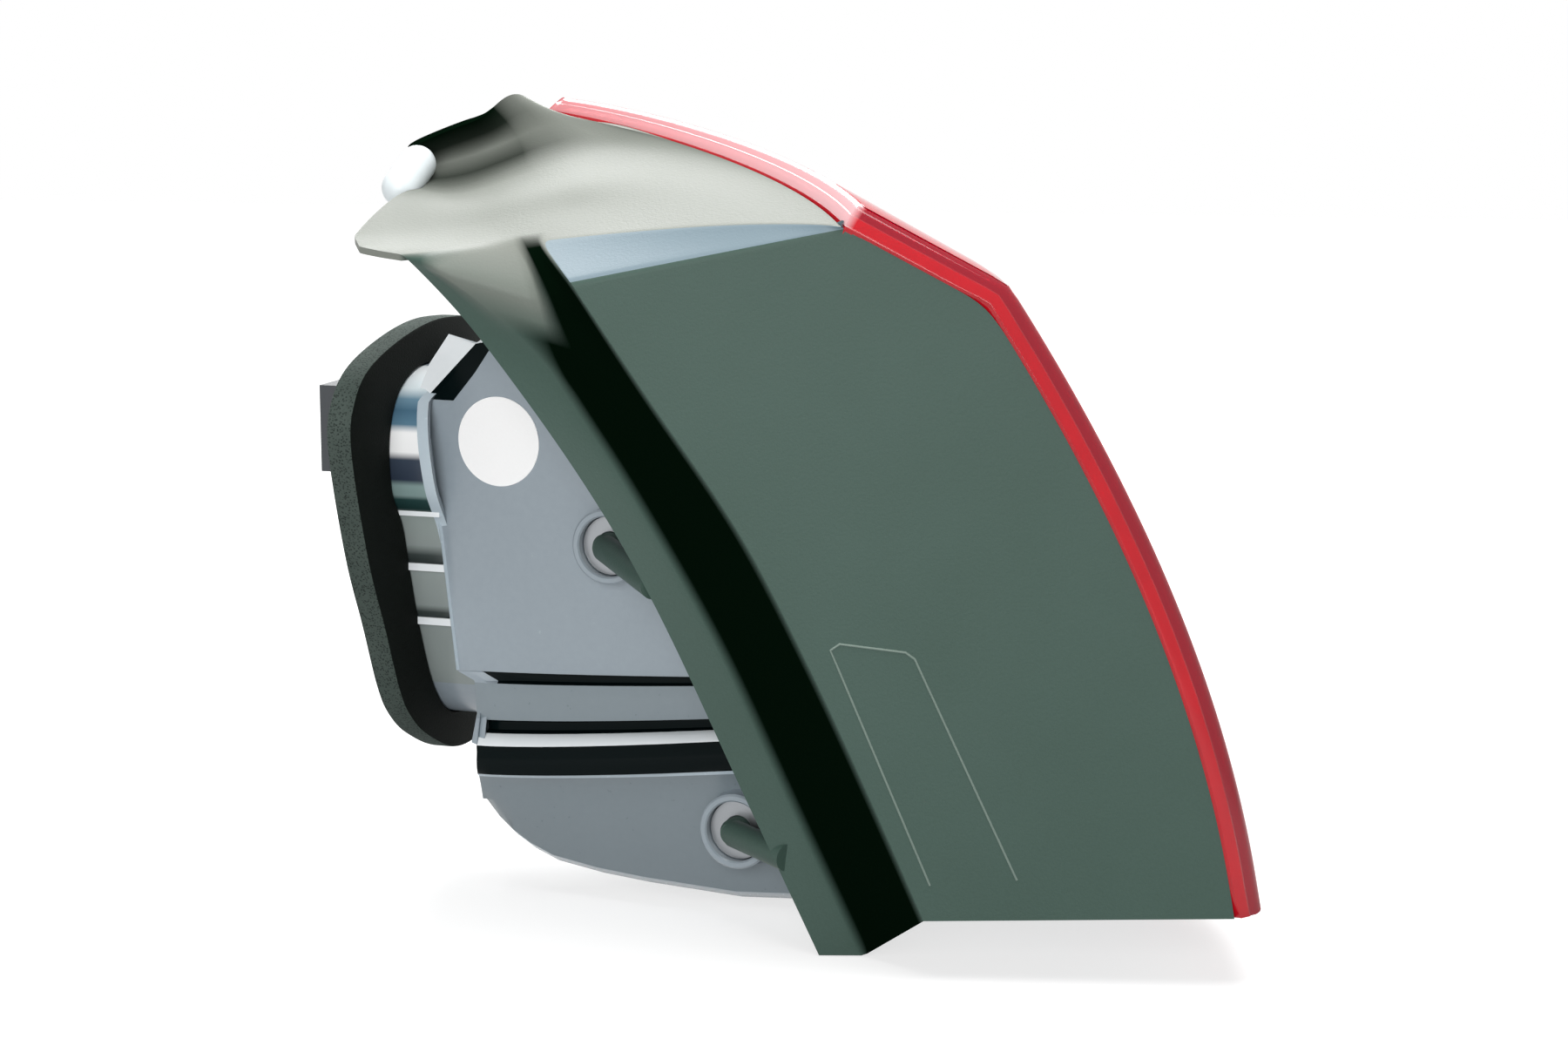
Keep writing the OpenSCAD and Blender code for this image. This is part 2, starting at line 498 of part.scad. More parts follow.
plate_t = 2;
plate_lift = -12;
plate_play = 0.9;
corner_cut = 5;
// The plate stops short of the wing tip, where the cavity is too narrow for it
tip_cut = 40;
tip_span = 400;
horn_wall = 1.5;
horn_rings = 6;
horn_points = 24;
throat_r = 14.5;
throat_x = 38;
bulb_sites = [[62, 150], [66, 112], [72, 75]];
// Centre of each mouth, and its two half sizes on the reflector plane
mouth_sites = [[-37.3, 88.1, 178.8], [-0.6, 88.4, 119], [43.1, 84.1, 54.6]];
mouth_sizes = [[28, 40], [32, 47], [31, 52]];
// Room that the walls round the mouths keep at every size
mouth_room = 12;
lesser = min(stretch);
mouths = [for (i = [0:2]) concat(to_plane(on_blank(mouth_sites[i])), [for (size = mouth_sizes[i])
    lesser * (size + mouth_room) - mouth_room])];
function mouth_2d(i, grow) = let (m = mouths[i]) [for (a = [0:horn_points - 1]) let (
        q = a * 360 / horn_points)
    [m[0] + (m[2] + grow) * cos(q), m[1] + (m[3] + grow) * sin(q)]];
function horn_ring(i, s, grow) = let (
        site = port_2d(bulb_sites[i]), m = mouths[i],
        a = in_port([throat_x, site[0], site[1]]),
        b = opening_point + (plate_lift + plate_t + horn_wall / 3) * opening_out + m[0] * plane_down
            + m[1] * plane_side,
        lead = in_port([throat_x + 45 * stretch[0], site[0] + 3, site[1]]),
        middle = mix(mix(a, lead, s), mix(lead, b, s), s),
        swell = pow(s, 1.15),
        down = unit(mix([0, 0, -1], plane_down, s)),
        across = unit(mix([sin(port_toe), cos(port_toe), 0], plane_side, s)))
    [for (k = [0:horn_points - 1]) let (q = k * 360 / horn_points)
        middle + (mix(throat_r, m[2], swell) + grow) * cos(q) * down
            + (mix(throat_r, m[3], swell) + grow) * sin(q) * across];
module horn(i) {
    n = horn_points;
    outer = [for (r = [0:horn_rings]) horn_ring(i, 1 - r / horn_rings, horn_wall)];
    inner = [for (r = [0:horn_rings]) horn_ring(i, r / horn_rings, 0)];
    total = 2 * (horn_rings + 1);
    polyhedron(flat(concat(outer, inner)), flat([for (r = [0:total - 1])
        [for (f = belt(n, r * n, (r + 1) % total * n)) [f[0], f[2], f[1]]]]), convexity = 8);
}
module plate_2d(lift, thick, play) {
    foot = rim_ring(foot_len, lens_wall);
    difference() {
        intersection() {
            offset(delta = -play) polygon(cavity_outline(lift));
            offset(delta = -play) polygon(cavity_outline(lift + thick));
        }
        translate(to_plane(foot[rows + cols]) + [tip_cut - tip_span, -tip_span / 2]) square(tip_span);
        translate(to_plane(foot[2 * rows + cols])) circle(r = corner_cut * lesser);
    }
}
module reflector() {
    color([0.86, 0.87, 0.88]) lamp() union() {
        on_plane(plate_lift) linear_extrude(height = plate_t) difference() {
            plate_2d(plate_lift, plate_t, plate_play);
            for (i = [0:2]) polygon(mouth_2d(i, horn_wall / 2));
        }
        for (i = [0:2]) horn(i);
    }
}
bezel_t = 2;
ring_h = 3;
ring_w = 2.2;
ring_play = 1.2;
module inner_bezel() {
    lift = plate_lift + plate_t;
    color([0.3, 0.31, 0.33]) lamp() on_plane(lift) difference() {
        union() {
            linear_extrude(height = bezel_t) plate_2d(lift, bezel_t, plate_play);
            for (i = [0:2]) linear_extrude(height = bezel_t + ring_h) intersection() {
                plate_2d(lift, bezel_t + ring_h, plate_play);
                polygon(mouth_2d(i, horn_wall + ring_w));
            }
        }
        for (i = [0:2]) translate([0, 0, -1]) linear_extrude(height = bezel_t + ring_h + 2)
            polygon(mouth_2d(i, horn_wall + ring_play));
    }
}

// Bulbs stand on the carrier, each in its own socket, and point into the reflector
socket_floor = 10;
socket_r = cap_d / 2 + socket_wall + fit;
cap_base = socket_floor + 2;
glass_base = cap_base + cap_len;
glass_len = glass_d + 9;
cap_crimp = 1.2;
contact_r = 3;
contact_h = 1.5;
module at_bulb(i) {
    spot = port_2d(bulb_sites[i]);
    port() translate([0, spot[0], spot[1]]) rotate([0, 90, 0]) children();
}
module glass(i) {
    at_bulb(i) translate([0, 0, glass_base]) difference() {
        envelope(glass_d / 2, 0);
        envelope(glass_d / 2 - glass_wall, glass_wall);
    }
}
module envelope(r, base) {
    neck = cap_d / 2 - cap_crimp - base;
    rotate_extrude() intersection() {
        union() {
            translate([0, base]) square([neck, glass_len - glass_d / 2 - base]);
            translate([0, glass_len - glass_d / 2]) circle(r = r);
        }
        square([r + 1, glass_len + 1]);
    }
}
module tail_bulb_glass() { color([0.95, 0.97, 1, 0.5]) lamp() glass(0); }
module turn_bulb_glass() { color([1, 0.6, 0.1, 0.6]) lamp() glass(1); }
module reverse_bulb_glass() { color([0.95, 0.97, 1, 0.5]) lamp() glass(2); }
module bulb_caps() {
    color([0.75, 0.73, 0.68]) lamp() for (i = [0:2]) at_bulb(i) translate([0, 0, cap_base]) union() {
        cylinder(d = cap_d, h = cap_len - fit);
        translate([0, 0, -contact_h]) cylinder(r = contact_r, h = contact_h + eps);
    }
}
wire_r = 0.4;
coil_len = 7;
module filaments() {
    color([0.6, 0.6, 0.6]) lamp() for (i = [0:2]) at_bulb(i) translate([0, 0, glass_base + glass_wall + 0.2]) {
        for (side = [-1, 1]) translate([0, side * coil_len / 2, 0]) cylinder(r = wire_r, h = glass_len / 2, $fn = 16);
        translate([0, -coil_len / 2 - wire_r, glass_len / 2]) rotate([-90, 0, 0])
            cylinder(r = wire_r * 1.8, h = coil_len + 2 * wire_r, $fn = 16);
    }
}

// Carrier: a plate that closes the port, with sockets inside and the connector shroud outside
plate_back = flange_x - seal_t;
plate_front = plate_back - carrier_t;
shroud_spot = [70, 154];
module bulb_carrier() {
    spot = port_2d(shroud_spot);
    color([0.2, 0.21, 0.22]) lamp() difference() {
        union() {
            port() {
                along(plate_front, carrier_t) neck_2d(fit);
                along(plate_back - eps, 6) difference() {
                    neck_2d(neck_wall + fit);
                    neck_2d(2 * neck_wall + fit);
                }
                translate([plate_front - shroud_len, spot[0] - shroud_size / 2, spot[1] - shroud_size / 2])
                    cube([shroud_len + eps, shroud_size, shroud_size]);
                for (spot = grip_sites) finger_grip(port_2d(spot));
            }
            for (i = [0:2]) at_bulb(i) translate([0, 0, plate_back - eps])
                cylinder(r = socket_r, h = glass_base - 2 - plate_back);
        }
        port() translate([plate_front - shroud_len - 1, spot[0] - shroud_size / 2 + shroud_wall,
            spot[1] - shroud_size / 2 + shroud_wall])
            cube([shroud_len + 1, shroud_size - 2 * shroud_wall, shroud_size - 2 * shroud_wall]);
        for (i = [0:2]) at_bulb(i) {
            translate([0, 0, cap_base]) cylinder(d = cap_d + 2 * fit, h = cap_len);
            translate([0, 0, cap_base - contact_h - fit]) cylinder(r = contact_r + fit, h = contact_h + 1);
        }
    }
}
grip_sites = [[76, 60], [60, 171]];
grip_size = [6, 20, 2.5];
module finger_grip(spot) {
    translate([plate_front - grip_size[0], spot[0] - grip_size[1] / 2, spot[1]]) cube(grip_size + [eps, 0, 0]);
}
track_places = [60, 67, 74];
track_foot = 74;
track_w = 4;
track_gap = 3;
module contact_tracks() {
    color([0.8, 0.65, 0.3]) lamp() port() for (y = track_places) {
        foot = port_2d([y, track_foot]);
        top = port_2d(shroud_spot)[1] - shroud_size / 2 - track_gap;
        translate([plate_front - track_t, foot[0], foot[1]]) cube([track_t, track_w, top - foot[1]]);
    }
}
pin_pitch = 5;
pin_len = 18;
module connector_pins() {
    spot = port_2d(shroud_spot);
    color([0.85, 0.8, 0.6]) lamp() port() for (y = [-2:2]) for (z = [-1, 1])
        translate([plate_front - pin_len, spot[0] + y * pin_pitch * 0.9 - pin_t / 2,
            spot[1] + z * pin_pitch - pin_t / 2]) cube([pin_len, pin_t, pin_t]);
}
module carrier_seal() {
    color("black") lamp() port() along(plate_back, seal_t) difference() {
        neck_2d(2 * fit);
        neck_2d(neck_wall - fit / 2);
    }
}
module port_gasket() {
    color([0.1, 0.1, 0.1]) lamp() difference() {
        port() difference() {
            along(0, gasket_t) gasket_2d(0);
            along(flange_x, flange_t) gasket_2d(gasket_grip / 4 - fit);
            along(-1, gasket_t + 2) neck_2d(-fit);
        }
        for (i = [0, 1]) at_stud(i) translate([0, 0, -2]) cylinder(r = stud_boss_r + fit, h = gasket_t + 4);
    }
}
// Each stud has a plain shank beyond its seat and a wider root moulded into its boss
module stud(i) {
    at_stud(i) union() {
        translate([0, 0, -stud_len]) cylinder(d = stud_d, h = stud_len + eps);
        cylinder(d = stud_root_d, h = stud_grip);
    }
}
module main_stud() { color([0.75, 0.76, 0.78]) lamp() stud(0); }
module lower_stud() { color([0.75, 0.76, 0.78]) lamp() stud(1); }
// Locating pin: a ball on a stem that snaps into a grommet in the outboard panel
pin_reach = 16;
stop_t = 2;
module locating_pin() {
    color([0.8, 0.8, 0.8]) lamp() translate(on_blank(pin_site)) rotate([0, -90, 0]) union() {
        translate([0, 0, -pin_grip]) cylinder(d = pin_stem_d, h = pin_grip + pin_reach);
        cylinder(d = ball_d + 1, h = stop_t);
        translate([0, 0, pin_reach]) sphere(d = ball_d);
    }
}
module spring_clips() {
    color([0.6, 0.62, 0.65]) lamp() for (i = [0, 1]) at_collar(i) translate([0, 0, 3]) difference() {
        cylinder(r = collar_r - neck_wall - fit, h = 0.8);
        translate([0, 0, -1]) cylinder(r = stay_r + fit, h = 3);
    }
}
module breather_cap() {
    color([0.15, 0.15, 0.15]) lamp() translate(on_blank(vent_site)) difference() {
        translate([0, 0, -2]) cylinder(r = vent_r + 2.5, h = 4);
        translate([0, 0, -3]) cylinder(r = vent_r + fit, h = 3 + fit);
    }
}
label_site = [-99.5, 155.5];
label_t = 0.3;
module round_label() {
    x = label_site[0];
    color("white") lamp() translate(on_blank([x, side_y(x), label_site[1]]))
        rotate([90, 0, -atan(side_slope * stretch[1] / stretch[0])]) cylinder(d = label_d, h = label_t);
}

housing();
trim_panel();
red_lens();
clear_window();
lens_bead();
reflex_reflector();
reflector();
inner_bezel();
tail_bulb_glass();
turn_bulb_glass();
reverse_bulb_glass();
bulb_caps();
filaments();
bulb_carrier();
contact_tracks();
connector_pins();
carrier_seal();
port_gasket();
main_stud();
lower_stud();
locating_pin();
spring_clips();
breather_cap();
round_label();
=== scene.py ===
import math
import bmesh
import bpy
import numpy as np
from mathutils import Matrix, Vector
from mathutils.bvhtree import BVHTree


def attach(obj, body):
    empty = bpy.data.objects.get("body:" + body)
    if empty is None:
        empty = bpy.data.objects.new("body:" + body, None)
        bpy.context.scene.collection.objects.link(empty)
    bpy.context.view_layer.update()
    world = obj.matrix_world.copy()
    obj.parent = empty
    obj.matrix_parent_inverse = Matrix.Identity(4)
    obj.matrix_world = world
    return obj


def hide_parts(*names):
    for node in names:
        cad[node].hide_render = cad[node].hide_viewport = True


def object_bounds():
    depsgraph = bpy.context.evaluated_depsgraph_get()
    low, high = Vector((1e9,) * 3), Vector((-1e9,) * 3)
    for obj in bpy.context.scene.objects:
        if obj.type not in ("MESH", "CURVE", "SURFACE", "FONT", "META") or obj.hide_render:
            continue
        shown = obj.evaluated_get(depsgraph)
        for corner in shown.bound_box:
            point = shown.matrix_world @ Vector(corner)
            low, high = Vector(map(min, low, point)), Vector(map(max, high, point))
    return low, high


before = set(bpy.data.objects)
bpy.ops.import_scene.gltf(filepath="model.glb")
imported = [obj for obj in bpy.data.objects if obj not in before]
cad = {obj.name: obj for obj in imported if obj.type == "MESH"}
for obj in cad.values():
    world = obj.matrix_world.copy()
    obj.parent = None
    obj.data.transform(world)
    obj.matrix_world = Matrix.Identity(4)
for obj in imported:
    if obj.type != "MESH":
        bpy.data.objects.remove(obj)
cad_box = [list(corner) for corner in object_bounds()]

# Red lens: one injection moulding of transparent red acrylic. A rim stands behind the edge of the side trim,
# and a foot behind it is bonded to the housing. It is drawn in millimetres in the vehicle's own directions,
# X rearward, Y outboard and Z up from the ground, and moved to the model's origin, the seat of the main stud.
STUD_SEAT = np.array([-133.736, 142.849, 148.0])
MM = 0.001
LENS_WALL = 2.8
RIM_WIDTH = 7.5
RIM_PROUD = 0.3
FOOT_LEN = 8.0
# The line where trim and lens meet, in X and Z: its foot, the pull of its bow, its bend and its top corner
BEND_AT = 0.8
MEET_FOOT, MEET_PULL, MEET_BEND, MEET_TOP = np.array([(148, 22.5), (134.5, 112), (70.5, 211), (27.5, 234)])
# How far and which way the skin sets out from the rim and from its outboard edge, at the foot and at the top
INNER_PULL, INNER_WAY = (95, 40), ([-0.1, 1, 0], [-0.5, 0.84, 0.36])
OUTER_PULL, OUTER_WAY = (80, 38), ([1, 0.1, 0], [0.83, -0.5, -0.05])
OUTBOARD_EDGE = [(28, 150, 8), (22, 157, 75), (2, 157, 140), (-35, 140, 208), (-84, 101, 268)]


def unit(v):
    v = np.asarray(v, float)
    return v / np.linalg.norm(v)


def mix(a, b, t):
    return np.asarray(a, float) * (1 - t) + np.asarray(b, float) * t


def spline(a, b, c, d, f):
    """Point at share f of the way from b to c, on a smooth curve through a, b, c and d."""
    bend, twist = 2 * a - 5 * b + 4 * c - d, 3 * b - a - 3 * c + d
    return 0.5 * (2 * b + (c - a) * f + bend * f * f + twist * f ** 3)


def through(path, t):
    """Point at share t of a smooth curve through the points of a path."""
    path = np.asarray(path, float)
    last = len(path) - 1
    s = min(max(t, 0.0), 1.0) * last
    i = min(int(s), last - 1)
    return spline(*(path[min(max(k, 0), last)] for k in range(i - 1, i + 3)), s - i)


def edge(t):
    """The line where trim and lens meet: a bowed lower run, a bend, and a straight run to the top corner."""
    if t < BEND_AT:
        s = t / BEND_AT
        x, z = (1 - s) ** 2 * MEET_FOOT + 2 * s * (1 - s) * MEET_PULL + s * s * MEET_BEND
    else:
        x, z = mix(MEET_BEND, MEET_TOP, (t - BEND_AT) / (1 - BEND_AT))
    return np.array([x, 0.1 * (x - 50), z])


def edge_out(t):
    d = edge(min(1, t + 0.01)) - edge(max(0, t - 0.01))
    return unit([d[2], 0, -d[0]])


def skin(t, v):
    """Point of the lens's outer face, t up the lens and v from the trim to the outboard edge."""
    a = edge(t) + RIM_WIDTH * edge_out(t) + np.array([0, RIM_WIDTH / 2, 0])
    d = through(OUTBOARD_EDGE, t)
    b = a + mix(*INNER_PULL, t) * unit(mix(*INNER_WAY, t * t))
    c = d + mix(*OUTER_PULL, t) * unit(mix(*OUTER_WAY, t * t))
    u = 1 - v
    return u ** 3 * a + 3 * u * u * v * b + 3 * u * v * v * c + v ** 3 * d


def skin_out(t, v):
    e = 0.01
    return unit(np.cross(skin(t, min(1, v + e)) - skin(t, max(0, v - e)),
                         skin(min(1, t + e), v) - skin(max(0, t - e), v)))


def rim_step(t, side, v):
    """From the border of the skin to the rim's inner edge: inner side, top, outboard side and foot."""
    if side == 0:
        return edge(t) - skin(t, 0) + RIM_PROUD * (edge_out(t) - np.array([0, 1, 0]))
    if side == 1:
        return mix(rim_step(1, 0, 0), 0.55 * RIM_WIDTH * np.array([-1, -1, -1.1]), v)
    if side == 2:
        return mix([-0.6, -0.2, 0], [-0.55, -0.55, -0.6], t ** 4) * RIM_WIDTH
    n = skin_out(0, v)
    return -0.7 * RIM_WIDTH * unit([n[0], n[1], 0.2])


def foot_dir(t, side, v):
    if side == 0:
        return unit(np.array([0, 0.42, 0]) - edge_out(t))
    if side == 1:
        return unit([-0.15, -0.1, -1])
    if side == 2:
        return unit(mix([-1, -1, 0], [-0.4, -0.4, -1], t ** 4))
    n = skin_out(0, v)
    return unit([-n[0], -n[1], 0.1])


def inward(t, side, v):
    return [np.array([0, 1.0, 0]), unit([0.55, 0.7, -0.45]), unit([-0.1, -1, 0]), np.array([0, 0, 1.0])][side]


def rim_walk(ups, overs):
    """Once round the rim: up the inner edge, over the top, down the outboard edge and back along the foot."""
    return ([(t, 0, 0.0) for t in ups[:-1]] + [(1.0, 1, v) for v in overs[:-1]]
            + [(t, 2, 1.0) for t in ups[:0:-1]] + [(0.0, 3, v) for v in overs[:0:-1]])


def eased(rows, reach):
    """Averages each row with its neighbours round the loop, so that directions turn gently at the corners."""
    rows, full = np.array(rows), reach + 1
    return sum(np.roll(rows, k, axis=0) * (full - abs(k)) for k in range(-reach, full)) / full ** 2


class Rim:
    """The rim as a loop of points with the directions of its foot and of its inner side."""

    def __init__(self, walk, reach):
        self.skin = np.array([skin(t, v) for t, side, v in walk])
        self.edge = self.skin + eased([rim_step(*place) for place in walk], reach)
        self.foot = eased([foot_dir(*place) for place in walk], reach)
        self.inward = eased([inward(*place) for place in walk], reach)

    def ring(self, depth, inset=0.0):
        return self.edge + depth * self.foot + inset * self.inward


def in_model(points):
    """From millimetres of the drawing to metres of the model."""
    return (np.asarray(points, float) - STUD_SEAT) * MM


def placed(name, data):
    thing = bpy.data.objects.new(name, data)
    bpy.context.scene.collection.objects.link(thing)
    return thing


def build(name, points, faces):
    """Makes an object at the origin from faces and points in drawing millimetres."""
    mesh = bpy.data.meshes.new(name)
    mesh.from_pydata([tuple(p) for p in in_model(points)], [], faces)
    mesh.validate()
    return placed(name, mesh)


def belt(lower, upper):
    """Quads between two closed loops of point numbers."""
    n = len(lower)
    return [(lower[k], lower[(k + 1) % n], upper[(k + 1) % n], upper[k]) for k in range(n)]


def linear(hex_colour):
    """An sRGB hex colour as linear red, green, blue and alpha."""
    parts = [int(hex_colour[k:k + 2], 16) / 255 for k in (1, 3, 5)]
    return tuple(c / 12.92 if c <= 0.04045 else ((c + 0.055) / 1.055) ** 2.4 for c in parts) + (1.0,)


def add_node(tree, kind, settings=None, inputs=None):
    """Adds a node, sets its properties, and gives each input a value or links it to another node's output."""
    node = tree.nodes.new(kind)
    for key, value in (settings or {}).items():
        setattr(node, key, value)
    for key, value in (inputs or {}).items():
        if isinstance(value, bpy.types.NodeSocket):
            tree.links.new(value, node.inputs[key])
        else:
            node.inputs[key].default_value = value
    return node


def new_material(name):
    material = bpy.data.materials.new(name)
    material.use_nodes = True
    material.node_tree.nodes.clear()
    return material, material.node_tree


def noise(tree, size_mm, detail, roughness=0.5, squeeze=None):
    """Noise over the piece's own coordinates with grains of one size, or streaks where they are squeezed."""
    place = add_node(tree, "ShaderNodeTexCoord").outputs["Object"]
    if squeeze:
        place = add_node(tree, "ShaderNodeMapping", None,
                         {"Vector": place, "Scale": squeeze}).outputs["Vector"]
    return add_node(tree, "ShaderNodeTexNoise", None,
                    {"Vector": place, "Scale": 1 / (size_mm * MM), "Detail": detail,
                     "Roughness": roughness}).outputs["Fac"]


def blended(tree, share, first, second):
    """The colour between two, each of which is a hex tone or another node's output."""
    first, second = (linear(tone) if isinstance(tone, str) else tone for tone in (first, second))
    return add_node(tree, "ShaderNodeMix", {"data_type": "RGBA"},
                    {"Factor": share, "A": first, "B": second}).outputs["Result"]


def painted(tree, attribute):
    return add_node(tree, "ShaderNodeAttribute", {"attribute_name": attribute}).outputs["Fac"]


def bumped(tree, height, strength, depth_mm):
    return add_node(tree, "ShaderNodeBump", None,
                    {"Height": height, "Strength": strength, "Distance": depth_mm * MM}).outputs["Normal"]


def surfaced(material, inputs):
    """Ends a material in the physical shader with these inputs."""
    shader = add_node(material.node_tree, "ShaderNodeBsdfPrincipled", None, inputs)
    add_node(material.node_tree, "ShaderNodeOutputMaterial", None, {"Surface": shader.outputs["BSDF"]})
    return material


def opened(piece):
    """The mesh of a piece, open for changes, which closed puts back."""
    mesh = bmesh.new()
    mesh.from_mesh(piece.data)
    mesh.verts.ensure_lookup_table()
    return mesh


def closed(mesh, piece):
    mesh.to_mesh(piece.data)
    mesh.free()


def soften(piece, angle):
    """Shades a piece smooth, apart from the edges that are sharper than the angle in degrees."""
    mesh = opened(piece)
    for face in mesh.faces:
        face.smooth = True
    for seam in mesh.edges:
        seam.smooth = len(seam.link_faces) != 2 or seam.calc_face_angle(0) < math.radians(angle)
    closed(mesh, piece)


def fit_piece(piece, replaced, slot, *materials):
    """Gives a finished piece its materials and hangs it on the lamp's body in place of the plain solid."""
    for material in materials:
        piece.data.materials.append(material)
    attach(piece, "root")
    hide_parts(replaced)


LENS_ROWS, LENS_COLS = 90, 132
RIM_SHAPE = [(0.97, -1.1), (0.88, -0.35), (0.75, 0.1), (0.52, 0.1), (0.48, 0.45), (0.1, 0.45), (0.02, 0.2)]
OUTER_HALF, PAINTED_REFLECTION_LOOPS = 4, 8
# The rim over the trim's top gets a painted reflection of the sky, strongest beside its inner corner
TOP_SIDE, PAINTED_REFLECTION_ON_TOP, PAINTED_SKY_REFLECTION = 1, (0.95, 0.45), "#f6ced2"
BORDER_BACK = 2.2
FLUTE_COLS = 3
FLUTE_DEPTH = 0.45
WINDOW_ROWS = [(2 / 15, 5 / 15), (6 / 15, 9 / 15)]
WINDOW_COLS = (3 / 12, 10 / 12)
CORNER_PULL, CORNER_FROM, CORNER_NEAR, CORNER_FAR = 0.14, 0.72, 0.3, 1.3


def rounded(t, v):
    """Moves a net point near a corner of a window so that the window's outline is round there."""
    v0, v1 = WINDOW_COLS
    for t0, t1 in WINDOW_ROWS:
        a, b = (2 * t - t0 - t1) / (t1 - t0), (2 * v - v0 - v1) / (v1 - v0)
        m = max(abs(a), abs(b))
        if CORNER_NEAR < m < CORNER_FAR:
            pull = CORNER_PULL * max(0, (min(abs(a), abs(b)) / m - CORNER_FROM) / (1 - CORNER_FROM)) ** 1.6
            share = (m - CORNER_NEAR) / (1 - CORNER_NEAR) if m < 1 else (CORNER_FAR - m) / (CORNER_FAR - 1)
            a, b = a * (1 - pull * share), b * (1 - pull * share)
            return (a * (t1 - t0) + t0 + t1) / 2, (b * (v1 - v0) + v0 + v1) / 2
    return t, v


def in_window(i, j):
    t, v = (i + 0.5) / LENS_ROWS, (j + 0.5) / LENS_COLS
    return WINDOW_COLS[0] < v < WINDOW_COLS[1] and any(t0 < t < t1 for t0, t1 in WINDOW_ROWS)


ups = np.linspace(0, 1, LENS_ROWS + 1)
overs = np.linspace(0, 1, LENS_COLS + 1)
net = [[rounded(t, v) for v in overs] for t in ups]
outer_skin = np.array([[skin(t, v) for t, v in row] for row in net])
normals = np.array([[skin_out(t, v) for t, v in row] for row in net])
walk = rim_walk(ups, overs)
lens_rim = Rim(walk, 4)
border = [round(t * LENS_ROWS) * (LENS_COLS + 1) + round(v * LENS_COLS) for t, side, v in walk]
flutes = np.array([FLUTE_DEPTH * (j % FLUTE_COLS == 0) for j in range(LENS_COLS + 1)])
inner_skin = outer_skin - (LENS_WALL - flutes[None, :, None]) * normals
for at, direction in zip(border, lens_rim.inward):
    row, col = divmod(at, LENS_COLS + 1)
    inner_skin[row, col] = outer_skin[row, col] - LENS_WALL * normals[row, col] + LENS_WALL * direction
points = list(outer_skin.reshape(-1, 3)) + list(inner_skin.reshape(-1, 3))
under = len(points) // 2
red_faces, clear_faces = [], []
for i in range(LENS_ROWS):
    for j in range(LENS_COLS):
        a = i * (LENS_COLS + 1) + j
        b, c, d = a + 1, a + LENS_COLS + 2, a + LENS_COLS + 1
        pane = clear_faces if in_window(i, j) else red_faces
        pane.extend([(a, b, c, d), (under + d, under + c, under + b, under + a)])

# The rim has a flat inner half, and an outer half that steps down a little and rounds over into the skin
for at, direction in zip(border, lens_rim.inward):
    points[at] = points[at] + BORDER_BACK * direction
loops = [border]
rings = [mix(lens_rim.edge, lens_rim.skin, share) - proud * lens_rim.inward for share, proud in RIM_SHAPE]
rings += [lens_rim.ring(*place) for place in ((0, 0), (FOOT_LEN, 0), (FOOT_LEN, LENS_WALL), (0, LENS_WALL))]
for ring in rings:
    loops.append(list(range(len(points), len(points) + len(border))))
    points += list(ring)
deep_from, deep_to = loops[1][0], loops[OUTER_HALF][-1]
loops.append([under + at for at in border])
for upper, lower in zip(loops, loops[1:]):
    red_faces += belt(lower, upper)
red_lens = build("red_lens_moulding", points, red_faces)
clear_windows = build("clear_window_mouldings", points, clear_faces)
for piece in (red_lens, clear_windows):
    mesh = opened(piece)
    for seam in [e for e in mesh.edges if len(e.link_faces) == 1]:
        a, b = seam.verts
        if a.index < under and b.index < under:
            mesh.faces.new((a, b, mesh.verts[b.index + under], mesh.verts[a.index + under]))
    deep, sky = (mesh.verts.layers.float.new(attribute) for attribute in ("deep", "sky"))
    for point in mesh.verts:
        point[deep] = float(deep_from <= point.index <= deep_to)
    # The loops of the rim's top carry the painted reflection of the sky
    for loop in loops[:PAINTED_REFLECTION_LOOPS]:
        for (t, side, v), at in zip(walk, loop):
            if side == TOP_SIDE:
                mesh.verts[at][sky] = float(mix(*PAINTED_REFLECTION_ON_TOP, v))
                mesh.verts[at][deep] = 0.0
    bmesh.ops.delete(mesh, geom=[v for v in mesh.verts if not v.link_faces], context="VERTS")
    bmesh.ops.recalc_face_normals(mesh, faces=mesh.faces)
    closed(mesh, piece)
    soften(piece, 28)


def polished_acrylic(name, colour, deep_colour, rim_colour, clear_share):
    """Acrylic from a polished tool: glossy, tinted in the mass, with a faint orange peel. The outer half of
    the rim is thicker and reads deeper, and its top is washed pale by a painted reflection of the sky."""
    material, tree = new_material(name)
    peel = noise(tree, 14, 1.0)
    body = blended(tree, painted(tree, "deep"), blended(tree, peel, colour, deep_colour), rim_colour)
    # Painted reflection of the sky, blended into the rim's top
    with_painted_reflection = blended(tree, painted(tree, "sky"), body, PAINTED_SKY_REFLECTION)
    return surfaced(material, {"Base Color": with_painted_reflection, "Roughness": 0.06, "IOR": 1.49,
                               "Specular IOR Level": 0.3, "Transmission Weight": clear_share,
                               "Normal": bumped(tree, peel, 0.05, 0.3)})


red_acrylic = polished_acrylic("red acrylic, polished", "#e01426", "#cc1024", "#a80c28", 0.4)
clear_acrylic = polished_acrylic("clear acrylic, polished", "#f6f7f7", "#edf1f2", "#edf1f2", 0.92)
fit_piece(red_lens, "red_lens", "red_lens", red_acrylic)
fit_piece(clear_windows, "clear_window", "clear_lens", clear_acrylic)

# Reflex reflector: a thin red acrylic block behind the lowest strip of the lens. Its back is moulded as rows
# of small prisms that throw headlamp light back, and its front is bonded to the lens.
REFLEX_T, REFLEX_DEPTH = 1.2, LENS_WALL + 0.3
REFLEX_UPS, REFLEX_OVERS = (0.04, 0.12), (0.16, 0.84)
PRISM_R, PRISM_H, PRISM_ROWS, PRISM_COLS = 2.0, 1.2, 12, 72


